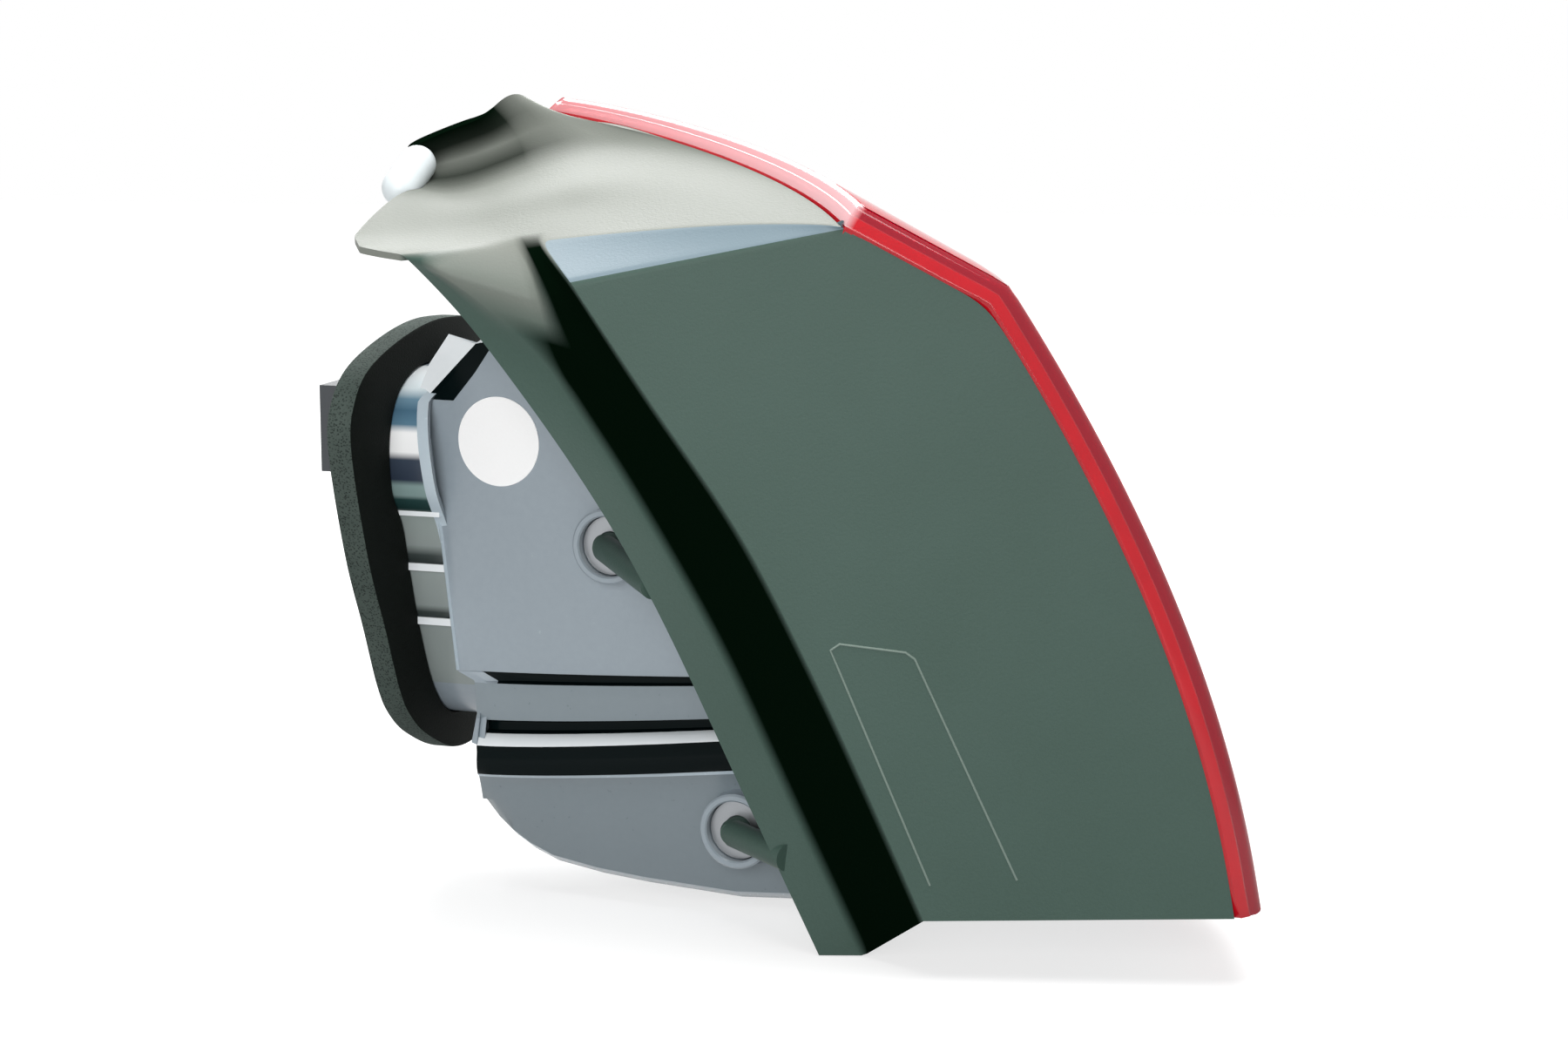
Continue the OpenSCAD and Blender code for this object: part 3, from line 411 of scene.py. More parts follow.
def open_tree(name, *lengths):
    """A geometry tree that takes a shape and named lengths. Gives its inputs and the lengths' identifiers."""
    tree = bpy.data.node_groups.new(name, "GeometryNodeTree")
    tree.interface.new_socket("Shape", in_out="INPUT", socket_type="NodeSocketGeometry")
    sockets = [tree.interface.new_socket(length, in_out="INPUT", socket_type="NodeSocketFloat")
               for length in lengths]
    tree.interface.new_socket("Shape", in_out="OUTPUT", socket_type="NodeSocketGeometry")
    return tree, add_node(tree, "NodeGroupInput").outputs, [socket.identifier for socket in sockets]


def close_tree(tree, shape, material):
    """Makes the shape real, gives it its material and hands it out."""
    real = add_node(tree, "GeometryNodeRealizeInstances", None, {"Geometry": shape})
    finish = add_node(tree, "GeometryNodeSetMaterial", None,
                      {"Geometry": real.outputs["Geometry"], "Material": material})
    add_node(tree, "NodeGroupOutput", None, {"Shape": finish.outputs["Geometry"]})


def prism_tree(material):
    """Puts one small prism on each point of a sheet, with its tip along the sheet's normal."""
    tree, given, sizes = open_tree("reflex prisms", "Prism radius", "Prism height")
    cone = add_node(tree, "GeometryNodeMeshCone", {"fill_type": "NONE"},
                    {"Vertices": 6, "Radius Top": 0.0, "Radius Bottom": given["Prism radius"],
                     "Depth": given["Prism height"]})
    normal = add_node(tree, "GeometryNodeInputNormal")
    turn = add_node(tree, "FunctionNodeAlignRotationToVector", {"axis": "Z"},
                    {"Vector": normal.outputs["Normal"]})
    spread = add_node(tree, "GeometryNodeInstanceOnPoints", None,
                      {"Points": given["Shape"], "Instance": cone.outputs["Mesh"],
                       "Rotation": turn.outputs["Rotation"]})
    both = add_node(tree, "GeometryNodeJoinGeometry", None, {"Geometry": given["Shape"]})
    tree.links.new(spread.outputs["Instances"], both.inputs["Geometry"])
    close_tree(tree, both.outputs["Geometry"], material)
    return tree, sizes


def settled(piece):
    """Keeps what the piece's modifiers make of it as a plain mesh."""
    bpy.context.view_layer.update()
    shape = bpy.data.meshes.new_from_object(piece.evaluated_get(bpy.context.evaluated_depsgraph_get()))
    piece.modifiers.clear()
    piece.data = shape


def grown(piece, tree, sizes, lengths):
    """Runs a geometry tree on a piece, with lengths in millimetres, and keeps the result as a plain mesh."""
    modifier = piece.modifiers.new(tree.name, "NODES")
    modifier.node_group = tree
    for identifier, length in zip(sizes, lengths):
        modifier[identifier] = length * MM
    settled(piece)


def sheet_faces(rows, cols, flip=False):
    """Quads of a net of points that is stored row by row."""
    starts = [i * cols + j for i in range(rows - 1) for j in range(cols - 1)]
    quads = [(at, at + 1, at + cols + 1, at + cols) for at in starts]
    return [q[::-1] for q in quads] if flip else quads


def reflex_point(i, j):
    t = float(mix(*REFLEX_UPS, i / (PRISM_ROWS - 1)))
    v = float(mix(*REFLEX_OVERS, (j + 0.5 * (i % 2)) / (PRISM_COLS - 0.5)))
    return skin(t, v) - (REFLEX_DEPTH + REFLEX_T) * skin_out(t, v)


back = [reflex_point(i, j) for i in range(PRISM_ROWS) for j in range(PRISM_COLS)]
reflex = build("reflex_prism_block", back, sheet_faces(PRISM_ROWS, PRISM_COLS, flip=True))
reflex_red = polished_acrylic("red acrylic, prismatic", "#d01228", "#a80c20", "#a80c20", 0.3)
grown(reflex, *prism_tree(reflex_red), (PRISM_R, PRISM_H))
fit_piece(reflex, "reflex_reflector", "reflex")

# Bonding bead: a grey line of cured adhesive in the groove between the lens foot and the housing. It is laid
# by a robot in one pass, and shows only as a thin line round the back of the lens.
BEAD_TONES = ("#4a4c4e", "#3b3d3f")
CLOUD_MM, CLOUD_SHARE, GLOSS_SPREAD, WELD_MM = 45, 0.55, 0.06, 0.005


def ranged(tree, value, low, high, start=0.0, end=1.0):
    """A value that goes from low to high while another goes from start to end."""
    return add_node(tree, "ShaderNodeMapRange", None,
                    {"Value": value, "From Min": start, "From Max": end, "To Min": low,
                     "To Max": high}).outputs["Result"]


def moulded_plastic(name, tones, grain_mm, grain_depth, roughness, sheen=0.5, tints=()):
    """Moulded thermoplastic: a fine etched grain, slow changes of tone and slightly uneven gloss. A tint is a
    mesh attribute, the tone that comes in where it rises, and the share of the sheen that stays."""
    material, tree = new_material(name)
    grain = noise(tree, grain_mm, 2.0, 0.6)
    share = add_node(tree, "ShaderNodeMix", {"data_type": "FLOAT"},
                     {"Factor": CLOUD_SHARE, "A": grain, "B": noise(tree, CLOUD_MM, 2.0)}).outputs["Result"]
    colour, level = blended(tree, share, tones[1], tones[0]), sheen
    for attribute, tint, kept in tints:
        where = painted(tree, attribute)
        fade = ranged(tree, where, 1.0, kept)
        level = add_node(tree, "ShaderNodeMath", {"operation": "MULTIPLY"}, {0: fade, 1: level}).outputs[0]
        colour = blended(tree, where, colour, tint)
    gloss = ranged(tree, grain, roughness - GLOSS_SPREAD, roughness + GLOSS_SPREAD)
    return surfaced(material, {"Base Color": colour, "Roughness": gloss, "Specular IOR Level": level,
                               "Normal": bumped(tree, grain, 0.6, grain_depth)})


def dress(name, material, angle=30):
    """A smooth copy of a plain solid of the lamp, which keeps its shape and gets its real finish."""
    piece = placed(name + "_finished", cad[name].data.copy())
    mesh = opened(piece)
    bmesh.ops.remove_doubles(mesh, verts=mesh.verts, dist=WELD_MM * MM)
    closed(mesh, piece)
    soften(piece, angle)
    piece.data.materials.clear()
    piece.data.materials.append(material)
    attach(piece, "root")
    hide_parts(name)
    return piece


adhesive = moulded_plastic("polyurethane adhesive, cured", BEAD_TONES, 3.0, 0.1, 0.55)
dress("lens_bead", adhesive, 50)

# Reflector: one moulding of plate and three deep bowls, lacquered and vacuum coated with aluminium. The dark
# bezel in front of it hides its edges and rings each bowl.
MIRROR = "#e9eaec"


def vacuum_coat(name):
    """Vacuum aluminium over lacquer: a true mirror with a very slight waviness from the moulding."""
    material, tree = new_material(name)
    waves, dust = noise(tree, 9, 0.0), noise(tree, 1.5, 1.0)
    return surfaced(material, {"Base Color": linear(MIRROR), "Metallic": 1.0,
                               "Roughness": ranged(tree, dust, 0.04, 0.14),
                               "Normal": bumped(tree, waves, 0.1, 0.3)})


dress("reflector", vacuum_coat("aluminium, vacuum coated"))
bezel_plastic = moulded_plastic("polycarbonate, satin dark grey", ("#55585c", "#484b4f"), 1.2, 0.04, 0.42)
dress("inner_bezel", bezel_plastic)

# Bulbs: blown glass envelopes crimped into brass bayonet caps, each with a coiled tungsten filament. The turn
# signal's glass is lacquered amber, and the other two are clear.


def blown_glass(name, colour):
    """Thin blown glass with slow ripples, which shows as bright curved edges round a clear middle."""
    material, tree = new_material(name)
    ripple = noise(tree, 8, 1.0)
    return surfaced(material, {"Base Color": linear(colour), "Roughness": 0.02, "IOR": 1.5,
                               "Transmission Weight": 1.0, "Normal": bumped(tree, ripple, 0.1, 0.2)})


def drawn_metal(name, colour, roughness, streak_mm, streak_axis=(1.0, 1.0, 0.08)):
    """Drawn or rolled metal: fine streaks along one direction and small dull spots."""
    material, tree = new_material(name)
    streak = noise(tree, streak_mm, 3.0, squeeze=streak_axis)
    return surfaced(material, {"Base Color": linear(colour), "Metallic": 1.0,
                               "Roughness": ranged(tree, streak, roughness - 0.08, roughness + 0.12),
                               "Normal": bumped(tree, streak, 0.3, 0.02)})


clear_glass = blown_glass("soda glass, blown clear", "#f8fbfc")
amber_glass = blown_glass("soda glass, amber lacquer", "#ff9a1c")
dress("tail_bulb_glass", clear_glass, 40)
dress("reverse_bulb_glass", clear_glass, 40)
dress("turn_bulb_glass", amber_glass, 40)
cap_brass = drawn_metal("brass, nickel plated", "#c9bfa6", 0.3, 0.8)
dress("bulb_caps", cap_brass)
dress("filaments", drawn_metal("tungsten wire", "#8d8f92", 0.4, 0.5), 40)

# Housing: the grey plastic back of the lamp, one moulding of ABS. A flat-sided box flares out to the lens, a
# polished roll runs along its side above a rounded lobe, and a neck with ribs carries the flange of the port.
SHELL_WALL, EDGE_WIDTH = 2.6, 0.7
RIM_SEAT, THROAT_RUN = FOOT_LEN + 1.6, 12.0
SATIN, PAINTED_DARK_REFLECTION_AND_SHADE, PAINTED_HIGHLIGHT, PAINTED_EDGE_HIGHLIGHT, PAINTED_NECK_BANDS, PAINTED_SHADE = 0, 1, 2, 3, 4, 5
# The side from foot to top: out from the flat, up, and how far each point climbs on the way to the lens
SIDE_PROFILE = [(-1.8, 33, 12), (-4, 38, 16), (-6.2, 42, 19), (-8, 43.2, 19.5), (-8.9, 45.5, 20),
                (-9, 48.3, 20), (-8.6, 50.5, 19.8), (-7.2, 52.8, 19.2), (-4.8, 54.6, 18.6), (-1.5, 55.8, 18),
                (2.5, 56.2, 17.4), (3.2, 58.8, 16.6), (0, 60, 16), (0, 66, 14), (0, 72.7, 12),
                (3, 73.3, 11.4), (3, 75.9, 10.2), (0, 76.5, 10), (0, 84, 8), (0, 100, 4), (0, 114, 1.5)]
SIDE_PROFILE += [(0, height, 0) for height in (125, 140, 155, 168.3, 178)]
# The polished strips get a painted dark reflection and shade: the roll, the strip above it, the top of the
#  front corner and, from its third ring on, the groove. The roll's crest gets a painted highlight. The lobe
#  and the strip under the groove turn down and get a painted shade, between thin edges with a painted
#  highlight
FINISH_AT = {PAINTED_DARK_REFLECTION_AND_SHADE: (7, 8, 9, 10, 13, 14, 15), PAINTED_HIGHLIGHT: (1, 11, 12), PAINTED_SHADE: (0, 3, 4, 5, 16, 17), PAINTED_EDGE_HIGHLIGHT: (2, 6)}
CORNER_POINTS, CORNER_RINGS, GROOVE_FACES, GROOVE_RING = (28, 29), 3, (18, 19, 20), 2
# The groove deepens from the front wall on, and the lobe's lowest points keep clear of the foot
GROOVE_POINTS, GROOVE_GROWTH, LOBE_POINTS, LOBE_CLEAR, RISE_BEND = (19, 20), 9, (4, 5), 7, 1.3
UNDERSIDE = [(30, 0), (18, 0.6), (9, 2.4), (2.5, 6)]
FRONT_LINE = [(26, -107), (51, -107), (58.5, -109), (73.5, -110), (76, -116), (125, -121.5), (168.3, -126.6),
              (187.7, -107.7)]
FOOT_LINE = [(0, 26), (0.03, 20.2), (0.06, 16), (0.1, 12), (0.15, 8.7), (0.25, 6.2), (0.35, 4.9), (0.55, 3.7),
             (1, 10)]
TOP_LINE = [(0, 187.7), (0.15, 190.3), (0.55, 197.2), (1, 205)]
FOOT_TUCK = [(0, 26), (1 / 15, 4), (2 / 15, 0)]
FRONT_OUTER = [(-110, 122, 190), (-118, 138, 168), (-112, 140, 75), (-105, 132, 40)]
REAR_OUTER = [(-92, 108, 222), (-78, 133, 185), (-48, 141, 105), (-14, 138, 20)]
REAR_FOOT_X, REAR_TOP_X, PLAIN_RUN, SIDE_Y, SIDE_SLOPE = 60, -30, 6, 47.2, 0.2226
ROOF_STEPS, BACK_STEPS, JOIN_MM = 12, 15, 0.001


def on_line(line, at):
    return float(np.interp(at, *zip(*line)))


def side_y(x):
    return SIDE_Y - SIDE_SLOPE * x


def span(path, steps):
    """Even steps along a chain of points, without its last point."""
    path = np.asarray(path, float)
    places = np.arange(steps) / steps * (len(path) - 1)
    low = places.astype(int)
    return list(path[low] + (path[low + 1] - path[low]) * (places - low)[:, None])


def side_path(k):
    """The side's profile at share k of the way from the front wall to the flare."""
    foot, top = on_line(FOOT_LINE, k), on_line(TOP_LINE, k)
    profile = [(offset, foot + up, 0) for offset, up in UNDERSIDE] + SIDE_PROFILE + [(0, top, 0)]
    path = []
    for number, (offset, height, rise) in enumerate(profile):
        if number in GROOVE_POINTS:
            offset *= min(1, GROOVE_GROWTH * k)
        if number in LOBE_POINTS:
            height = max(height, foot + LOBE_CLEAR)
        rear_x = mix(REAR_FOOT_X, REAR_TOP_X, min(1, (height - foot) / (top - foot)))
        x = float(mix(on_line(FRONT_LINE, height), rear_x, k))
        path.append(np.array([x, side_y(x) + offset, height + rise * k ** RISE_BEND]))
    return path


def box_ring(k):
    side, outer = side_path(k), mix(FRONT_OUTER, REAR_OUTER, k)
    roof, floor = span([side[-1], outer[0]], ROOF_STEPS), span([outer[-1], side[0]], ROOF_STEPS)
    return side[:-1] + roof + span(outer, BACK_STEPS) + floor


class Moulding:
    """Collects the points and faces of one moulding, with the number of the finish of each face."""

    def __init__(self):
        self.points, self.faces, self.finish = [], [], []

    def loop(self, points):
        start = len(self.points)
        self.points += [np.asarray(p, float) for p in points]
        return list(range(start, len(self.points)))

    def skinned(self, faces, finish=0):
        self.faces += faces
        self.finish += [finish] * len(faces)

    def lofted(self, rings, closed=False, finish=0):
        """Skins a chain of rings. The finish is a number, or a function of the numbers of ring and point."""
        loops = [self.loop(ring) for ring in rings]
        for number, (lower, upper) in enumerate(zip(loops, loops[1:] + loops[:1] if closed else loops[1:])):
            for k, face in enumerate(belt(lower, upper)):
                self.skinned([face], finish(number, k) if callable(finish) else finish)
        return loops

    def capped(self, loop, flip=False, finish=0):
        centre = self.loop([np.mean([self.points[k] for k in loop], axis=0)])[0]
        pairs = zip(loop, loop[1:] + loop[:1])
        self.skinned([(b, a, centre) if flip else (a, b, centre) for a, b in pairs], finish)

    def turned(self, start, axis, profile, around=48, finish=0):
        """A turned form about an axis, from its profile of radii and heights; a zero radius closes an end."""
        axis = unit(axis)
        side = unit(np.cross(axis, [0.3, 0.2, 1] if abs(axis[2]) < 0.9 else [1, 0, 0]))
        other = np.cross(axis, side)
        spokes = [math.cos(a) * side + math.sin(a) * other for a in np.arange(around) * 2 * math.pi / around]
        rings = [[start + h * axis + r * spoke for spoke in spokes] for r, h in profile if r > 0]
        loops = self.lofted(rings, finish=finish)
        if profile[0][0] == 0:
            self.capped(loops[0], flip=True, finish=finish)
        if profile[-1][0] == 0:
            self.capped(loops[-1], finish=finish)

    def block(self, corners, finish=0):
        """A block from eight corners: four of its lower face and the four above them."""
        corners = self.loop(corners)
        low, high = corners[:4], corners[4:]
        self.skinned([(low[0], *low[:0:-1]), tuple(high)] + belt(low, high), finish)

    def made(self, name, materials):
        piece = build(name, self.points, self.faces)
        for material in materials:
            piece.data.materials.append(material)
        for face, finish in zip(piece.data.polygons, self.finish):
            face.material_index = finish
        mesh = opened(piece)
        bmesh.ops.remove_doubles(mesh, verts=mesh.verts, dist=JOIN_MM * MM)
        bmesh.ops.recalc_face_normals(mesh, faces=mesh.faces)
        closed(mesh, piece)
        return piece


def joined(*pieces):
    """Joins pieces of one moulding into the first of them."""
    mesh = bmesh.new()
    for piece in pieces:
        mesh.from_mesh(piece.data)
    closed(mesh, pieces[0])
    for piece in pieces[1:]:
        bpy.data.objects.remove(piece)


# The neck turns away from the eye and carries painted reflections of the room and painted shadows over its
# ribs, in level bands: heights in the drawing and their tones
NECK_PAINTED_BANDS = [(88, "#8d9694"), (91.5, "#2a3231"), (93.5, "#39413f"), (96, "#8d9694"), (108, "#949d9b"),
              (111.5, "#252d2c"), (114.5, "#3c4443"), (118, "#8d9694"), (129, "#98a3a0"), (131.4, "#17302f"),
              (135, "#24403f"), (136.5, "#7f9694"), (140, "#7f9694"), (142, "#2a3443"), (149, "#333e4d"),
              (151.5, "#f3f4f4"), (158, "#f6f7f7"), (160.5, "#587b90"), (165, "#486a80"), (168.5, "#6d8fa2"),
              (171.5, "#dfebef"), (176, "#eef3f5")]


def plastic_with_painted_bands(name, tones, roughness):
    """Tool polished plastic whose painted reflections and shadows change with the height."""
    material, tree = new_material(name)
    place = add_node(tree, "ShaderNodeTexCoord").outputs["Object"]
    height = add_node(tree, "ShaderNodeSeparateXYZ", None, {"Vector": place}).outputs["Z"]
    low, high = tones[0][0], tones[-1][0]
    share = ranged(tree, height, 0.0, 1.0, (low - STUD_SEAT[2]) * MM, (high - STUD_SEAT[2]) * MM)
    ramp = add_node(tree, "ShaderNodeValToRGB", None, {"Fac": share})
    stops = ramp.color_ramp.elements
    for number, (at, tone) in enumerate(tones):
        inner = 0 < number < len(tones) - 1
        stop = stops.new((at - low) / (high - low)) if inner else stops[0 if number == 0 else -1]
        stop.color = linear(tone)
    return surfaced(material, {"Base Color": ramp.outputs["Color"], "Roughness": roughness})


# The housing's satin grey, then painted dark reflection and shade, painted highlight, painted edge highlight,
# the neck's painted bands and painted shade
HOUSING_FINISHES = [
    moulded_plastic("ABS, satin moulded grey", ("#96a1a9", "#89949c"), 2.5, 0.01, 0.24),
    moulded_plastic("ABS, tool polished, painted dark reflection and shade", ("#071112", "#040c0d"), 2.0, 0.004, 0.2, 0.06),
    moulded_plastic("ABS, tool polished, painted highlight", ("#eef2f4", "#e4eaed"), 2.0, 0.004, 0.2),
    moulded_plastic("ABS, rounded edge, painted highlight", ("#bccad2", "#b0bec8"), 2.0, 0.004, 0.25),
    plastic_with_painted_bands("ABS, tool polished, neck with painted bands", NECK_PAINTED_BANDS, 0.25),
    moulded_plastic("ABS, satin, turned down, painted shade", ("#7e898f", "#747f85"), 2.5, 0.01, 0.3)]
shares = [0, 0.03, 0.06, 0.1, 0.15, 0.2, 0.25, 0.35, 0.45, 0.55, 0.7, 0.85, 1]
rings = [box_ring(k) for k in shares]
side_count = len(side_path(0)) - 1
plain = []
for share in np.arange(side_count) / side_count:
    x = mix(REAR_FOOT_X, REAR_TOP_X, share) + PLAIN_RUN
    height = mix(FOOT_LINE[-1][1], TOP_LINE[-1][1], share)
    plain.append(np.array([x, side_y(x) + on_line(FOOT_TUCK, share), height]))
plain += [p + np.array([PLAIN_RUN, 0, 0]) for p in rings[-1][side_count:]]
seat_walk = [(j / side_count, 0, 0.0) for j in range(side_count)] + rim_walk(
    np.linspace(0, 1, BACK_STEPS + 1), np.linspace(0, 1, ROOF_STEPS + 1))[BACK_STEPS:]
seat = Rim(seat_walk, 1)
rings += [plain, list(seat.ring(RIM_SEAT + THROAT_RUN, THROAT_RUN / 2)), list(seat.ring(RIM_SEAT))]


def shell_finish(ring, k):
    if ring >= len(shares) - 1:
        return SATIN
    if k in CORNER_POINTS and ring < CORNER_RINGS or k in GROOVE_FACES and ring >= GROOVE_RING:
        return PAINTED_DARK_REFLECTION_AND_SHADE
    return next((finish for finish, points in FINISH_AT.items() if k in points), SATIN)


shell = Moulding()
shell.capped(shell.lofted(rings, finish=shell_finish)[0])
housing = shell.made("housing_shell", HOUSING_FINISHES)
walls = housing.modifiers.new("wall", "SOLIDIFY")
walls.thickness = SHELL_WALL * MM
walls.offset = -1
settled(housing)
bevel = housing.modifiers.new("rounded edges", "BEVEL")
bevel.width, bevel.segments = EDGE_WIDTH * MM, 2
bevel.limit_method, bevel.angle_limit = "ANGLE", math.radians(40)
settled(housing)

# Fittings of the housing, moulded with it: the port's neck and flange, the collars for the trim's stays, the
# bosses of the studs and of the locating pin, and the vent's spigot.
PORT_ZERO = np.array([-149.2, 40.0, 0.0])
PORT_TOE = math.radians(8)
GASKET_PATH = [(80, 191.5), (50, 190), (17, 182), (3, 171), (0, 155), (10.5, 118.3), (22.3, 92.4),
               (32.6, 69.2), (41, 58), (55, 48), (80, 38), (105, 40), (116, 56), (118, 110), (118, 165),
               (108, 186)]
NECK_PATH = [(57, 177), (38, 170.5), (29.5, 157), (30, 139), (38, 125), (42.5, 110), (50, 87.5), (60, 66),
             (72, 54), (85, 52), (92, 62), (92, 110), (92, 155), (84, 173)]
FLANGE_X, FLANGE_T, FLANGE_INSET, NECK_WALL = 3.2, 2.5, 3.2, 2.5
NECK_END = FLANGE_X + FLANGE_T
NECK_ROOT, NECK_EDGE, SEEN_Y, SEEN_Z = 2.5, -1.4, 60, 60
STUD_SITES = [(104, 148), (104, 78)]
STUD_D, STUD_LEN, STUD_ROOT_D, STUD_GRIP, BOSS_SEAT = 6.0, 18.0, 8.0, 9.0, 1.0
PIN_SITE, VENT_SITE, VENT_R = np.array([-58, 143.4, 62]), np.array([-100, 104, 218]), 5.0
COLLAR_SITES, COLLAR_LIFT = [(-58, 124), (-13, 34)], [0, -4]
COLLAR_R, COLLAR_H = 12.5, 7.0
RIB_HEIGHTS, RIB_T = (129, 109, 89), 2.5
# The front corner's edge line, with a painted highlight, starts at one point of the side and turns into a
# bevel at another
EDGE_FROM, BEVEL_FROM, BEVEL_REACH = 21, 27, (0.3, 3.2, 7.5, 9.5)
EDGE_SECTION = ((-0.7, 0.3, 0), (-0.2, -0.9, 0), (0.9, 0.2, 0))


def port(p):
    """A point given in the port's own directions, into the lamp, outboard and up, in drawing millimetres."""
    x, y, z = p
    return PORT_ZERO + np.array([x * math.cos(PORT_TOE) + y * math.sin(PORT_TOE),
                                 -x * math.sin(PORT_TOE) + y * math.cos(PORT_TOE), z])


def closed_curve(path, steps=8):
    """A smooth closed curve through a path, with even steps between its points."""
    path, n = np.array(path, float), len(path)
    return np.array([spline(*(path[(i + k) % n] for k in (-1, 0, 1, 2)), f)
                     for i in range(n) for f in np.arange(steps) / steps])


def drawn_in(curve, inset):
    """Moves every point of a closed curve towards its inside by one distance."""
    ahead = np.roll(curve, -1, axis=0) - np.roll(curve, 1, axis=0)
    length = np.linalg.norm(ahead, axis=1)
    side = np.stack([ahead[:, 1], -ahead[:, 0]], axis=1) / length[:, None]
    return curve - inset * side


def slice_at(curve, x, inset=0.0):
    return [port((x, y, z)) for y, z in drawn_in(curve, inset)]


gasket_curve, neck_curve = closed_curve(GASKET_PATH), closed_curve(NECK_PATH)
fittings = Moulding()


def neck_end(inset, past=NECK_ROOT):
    """A ring around the neck at one distance behind the front wall of the housing, where the neck stops."""
    ring = []
    for y, z in drawn_in(neck_curve, inset):
        reach = (on_line(FRONT_LINE, z) + past - PORT_ZERO[0] - y * math.sin(PORT_TOE)) / math.cos(PORT_TOE)
        ring.append(port((reach, y, z)))
    return ring


neck_rings = [slice_at(neck_curve, FLANGE_X, NECK_WALL), slice_at(neck_curve, FLANGE_X),
              neck_end(0, NECK_EDGE), neck_end(0), neck_end(NECK_WALL)]


# Where the neck is seen, its wall carries the painted reflection bands and its root a painted edge highlight
def neck_finish(ring, k):
    y, z = neck_curve[k]
    return (SATIN, PAINTED_NECK_BANDS, PAINTED_EDGE_HIGHLIGHT, SATIN, SATIN)[ring] if y < SEEN_Y and z > SEEN_Z else SATIN


fittings.lofted(neck_rings, closed=True, finish=neck_finish)


def along_curve(curve, count):
    """Points at even shares of a closed curve's length, from the point nearest to the top."""
    start = int(np.argmax(curve[:, 1]))
    chain = np.roll(curve, -start, axis=0)
    chain = np.vstack([chain, chain[:1]])
    run = np.concatenate([[0], np.cumsum(np.linalg.norm(np.diff(chain, axis=0), axis=1))])
    at = np.arange(count) / count * run[-1]
    return np.stack([np.interp(at, run, chain[:, k]) for k in (0, 1)], axis=1)


PLATE_POINTS = 160
flange_outer, flange_inner = along_curve(gasket_curve, PLATE_POINTS), along_curve(neck_curve, PLATE_POINTS)
flange_slices = [(flange_outer, FLANGE_X, FLANGE_INSET), (flange_outer, NECK_END, FLANGE_INSET),
                 (flange_inner, NECK_END, 0.5), (flange_inner, FLANGE_X, 0.5)]
fittings.lofted([slice_at(*place) for place in flange_slices], closed=True)
port_axis = port((1, 0, 0)) - port((0, 0, 0))
bore, boss_end = STUD_ROOT_D / 2, STUD_GRIP + SHELL_WALL
for y, z in STUD_SITES:
    fittings.turned(port((BOSS_SEAT, y, z)), port_axis, [(bore + 0.3, 0), (bore + 3.4, 0), (bore + 4, 0.6),
                                                         (bore + 4, boss_end), (0, boss_end)])
# The ribs get a painted highlight
for z in RIB_HEIGHTS:
    y = mix(62, 36, (z - 60) / 80)
    low = [port((NECK_END + x, y + across, z)) for x, across in ((2, -5), (18, -5), (18, 9), (2, 9))]
    fittings.block(low + [p + np.array([0, 0, RIB_T]) for p in low], PAINTED_HIGHLIGHT)
side_out = unit([-SIDE_SLOPE, -1, 0])
collar_seats = [np.array([x, side_y(x) + lift, z]) for (x, z), lift in zip(COLLAR_SITES, COLLAR_LIFT)]
for seat_point in collar_seats:
    fittings.turned(seat_point, side_out,
                    [(COLLAR_R + 1.2, -4), (COLLAR_R, 1), (COLLAR_R, COLLAR_H - 0.6),
                     (COLLAR_R - 0.6, COLLAR_H), (COLLAR_R - 2, COLLAR_H), (COLLAR_R - 2.5, COLLAR_H - 0.5),
                     (COLLAR_R - 2.5, 0.5), (0, 0.5)])
fittings.turned(PIN_SITE, [1, 0, 0], [(2.8, 0.4), (2.8, 0), (5.9, 0), (6.5, 0.6), (6.5, 22), (0, 22)])
fittings.turned(VENT_SITE, [0, 0, -1], [(VENT_R - 2, 5), (VENT_R - 2, 0), (VENT_R - 0.4, 0), (VENT_R, 0.4),
                                        (VENT_R, 25), (0, 25)])
front_path = side_path(0)
for pair in zip(front_path[EDGE_FROM:BEVEL_FROM], front_path[EDGE_FROM + 1:]):
    fittings.lofted([[p + np.array(step) for step in EDGE_SECTION] for p in pair], finish=PAINTED_EDGE_HIGHLIGHT)
# Above the neck the front corner is cut to a bevel that faces the light, with a painted highlight
fittings.lofted([[p + np.array(step) for step in ((0.3, -0.3, 0), (0.3, 3, 0), (-reach, 2.4, 0.3 * reach))]
                 for p, reach in zip(front_path[BEVEL_FROM:], BEVEL_REACH)], finish=PAINTED_HIGHLIGHT)
joined(housing, fittings.made("housing_fittings", HOUSING_FINISHES))
soften(housing, 32)
fit_piece(housing, "housing", "housing")

# Side trim: a grained grey-green moulding clipped over the side of the lamp. A flat panel meets a sloping
# band at a soft ridge, a lip runs down the front, and a shoulder with a wing and an upstand goes under the
# bodywork.
TRIM_WALL, TRIM_GAP = 2.3, 0.5
LIP_RAIL = [(16.5, 20.6, 0.03), (-9, 18.2, 55.9), (-34.3, 15.2, 111.7), (-57.2, 14, 151.6),
            (-88.5, 15, 193.8), (-113.5, 9, 222.5)]
BAND_RAIL = [(30.8, 22.1, 0.3), (8, 20, 50), (-16, 17.3, 103), (-44, 14.6, 153), (-66, 12.5, 189),
             (-70.7, 11.9, 210.2)]
RIDGE_RAIL = [(52.6, 0.3, 19.5), (35.5, -1.5, 59), (17, -3.3, 99.5), (-4, -5.4, 140.5), (-31.5, -8.2, 181.5),
              (-54.6, -10.5, 216.7)]
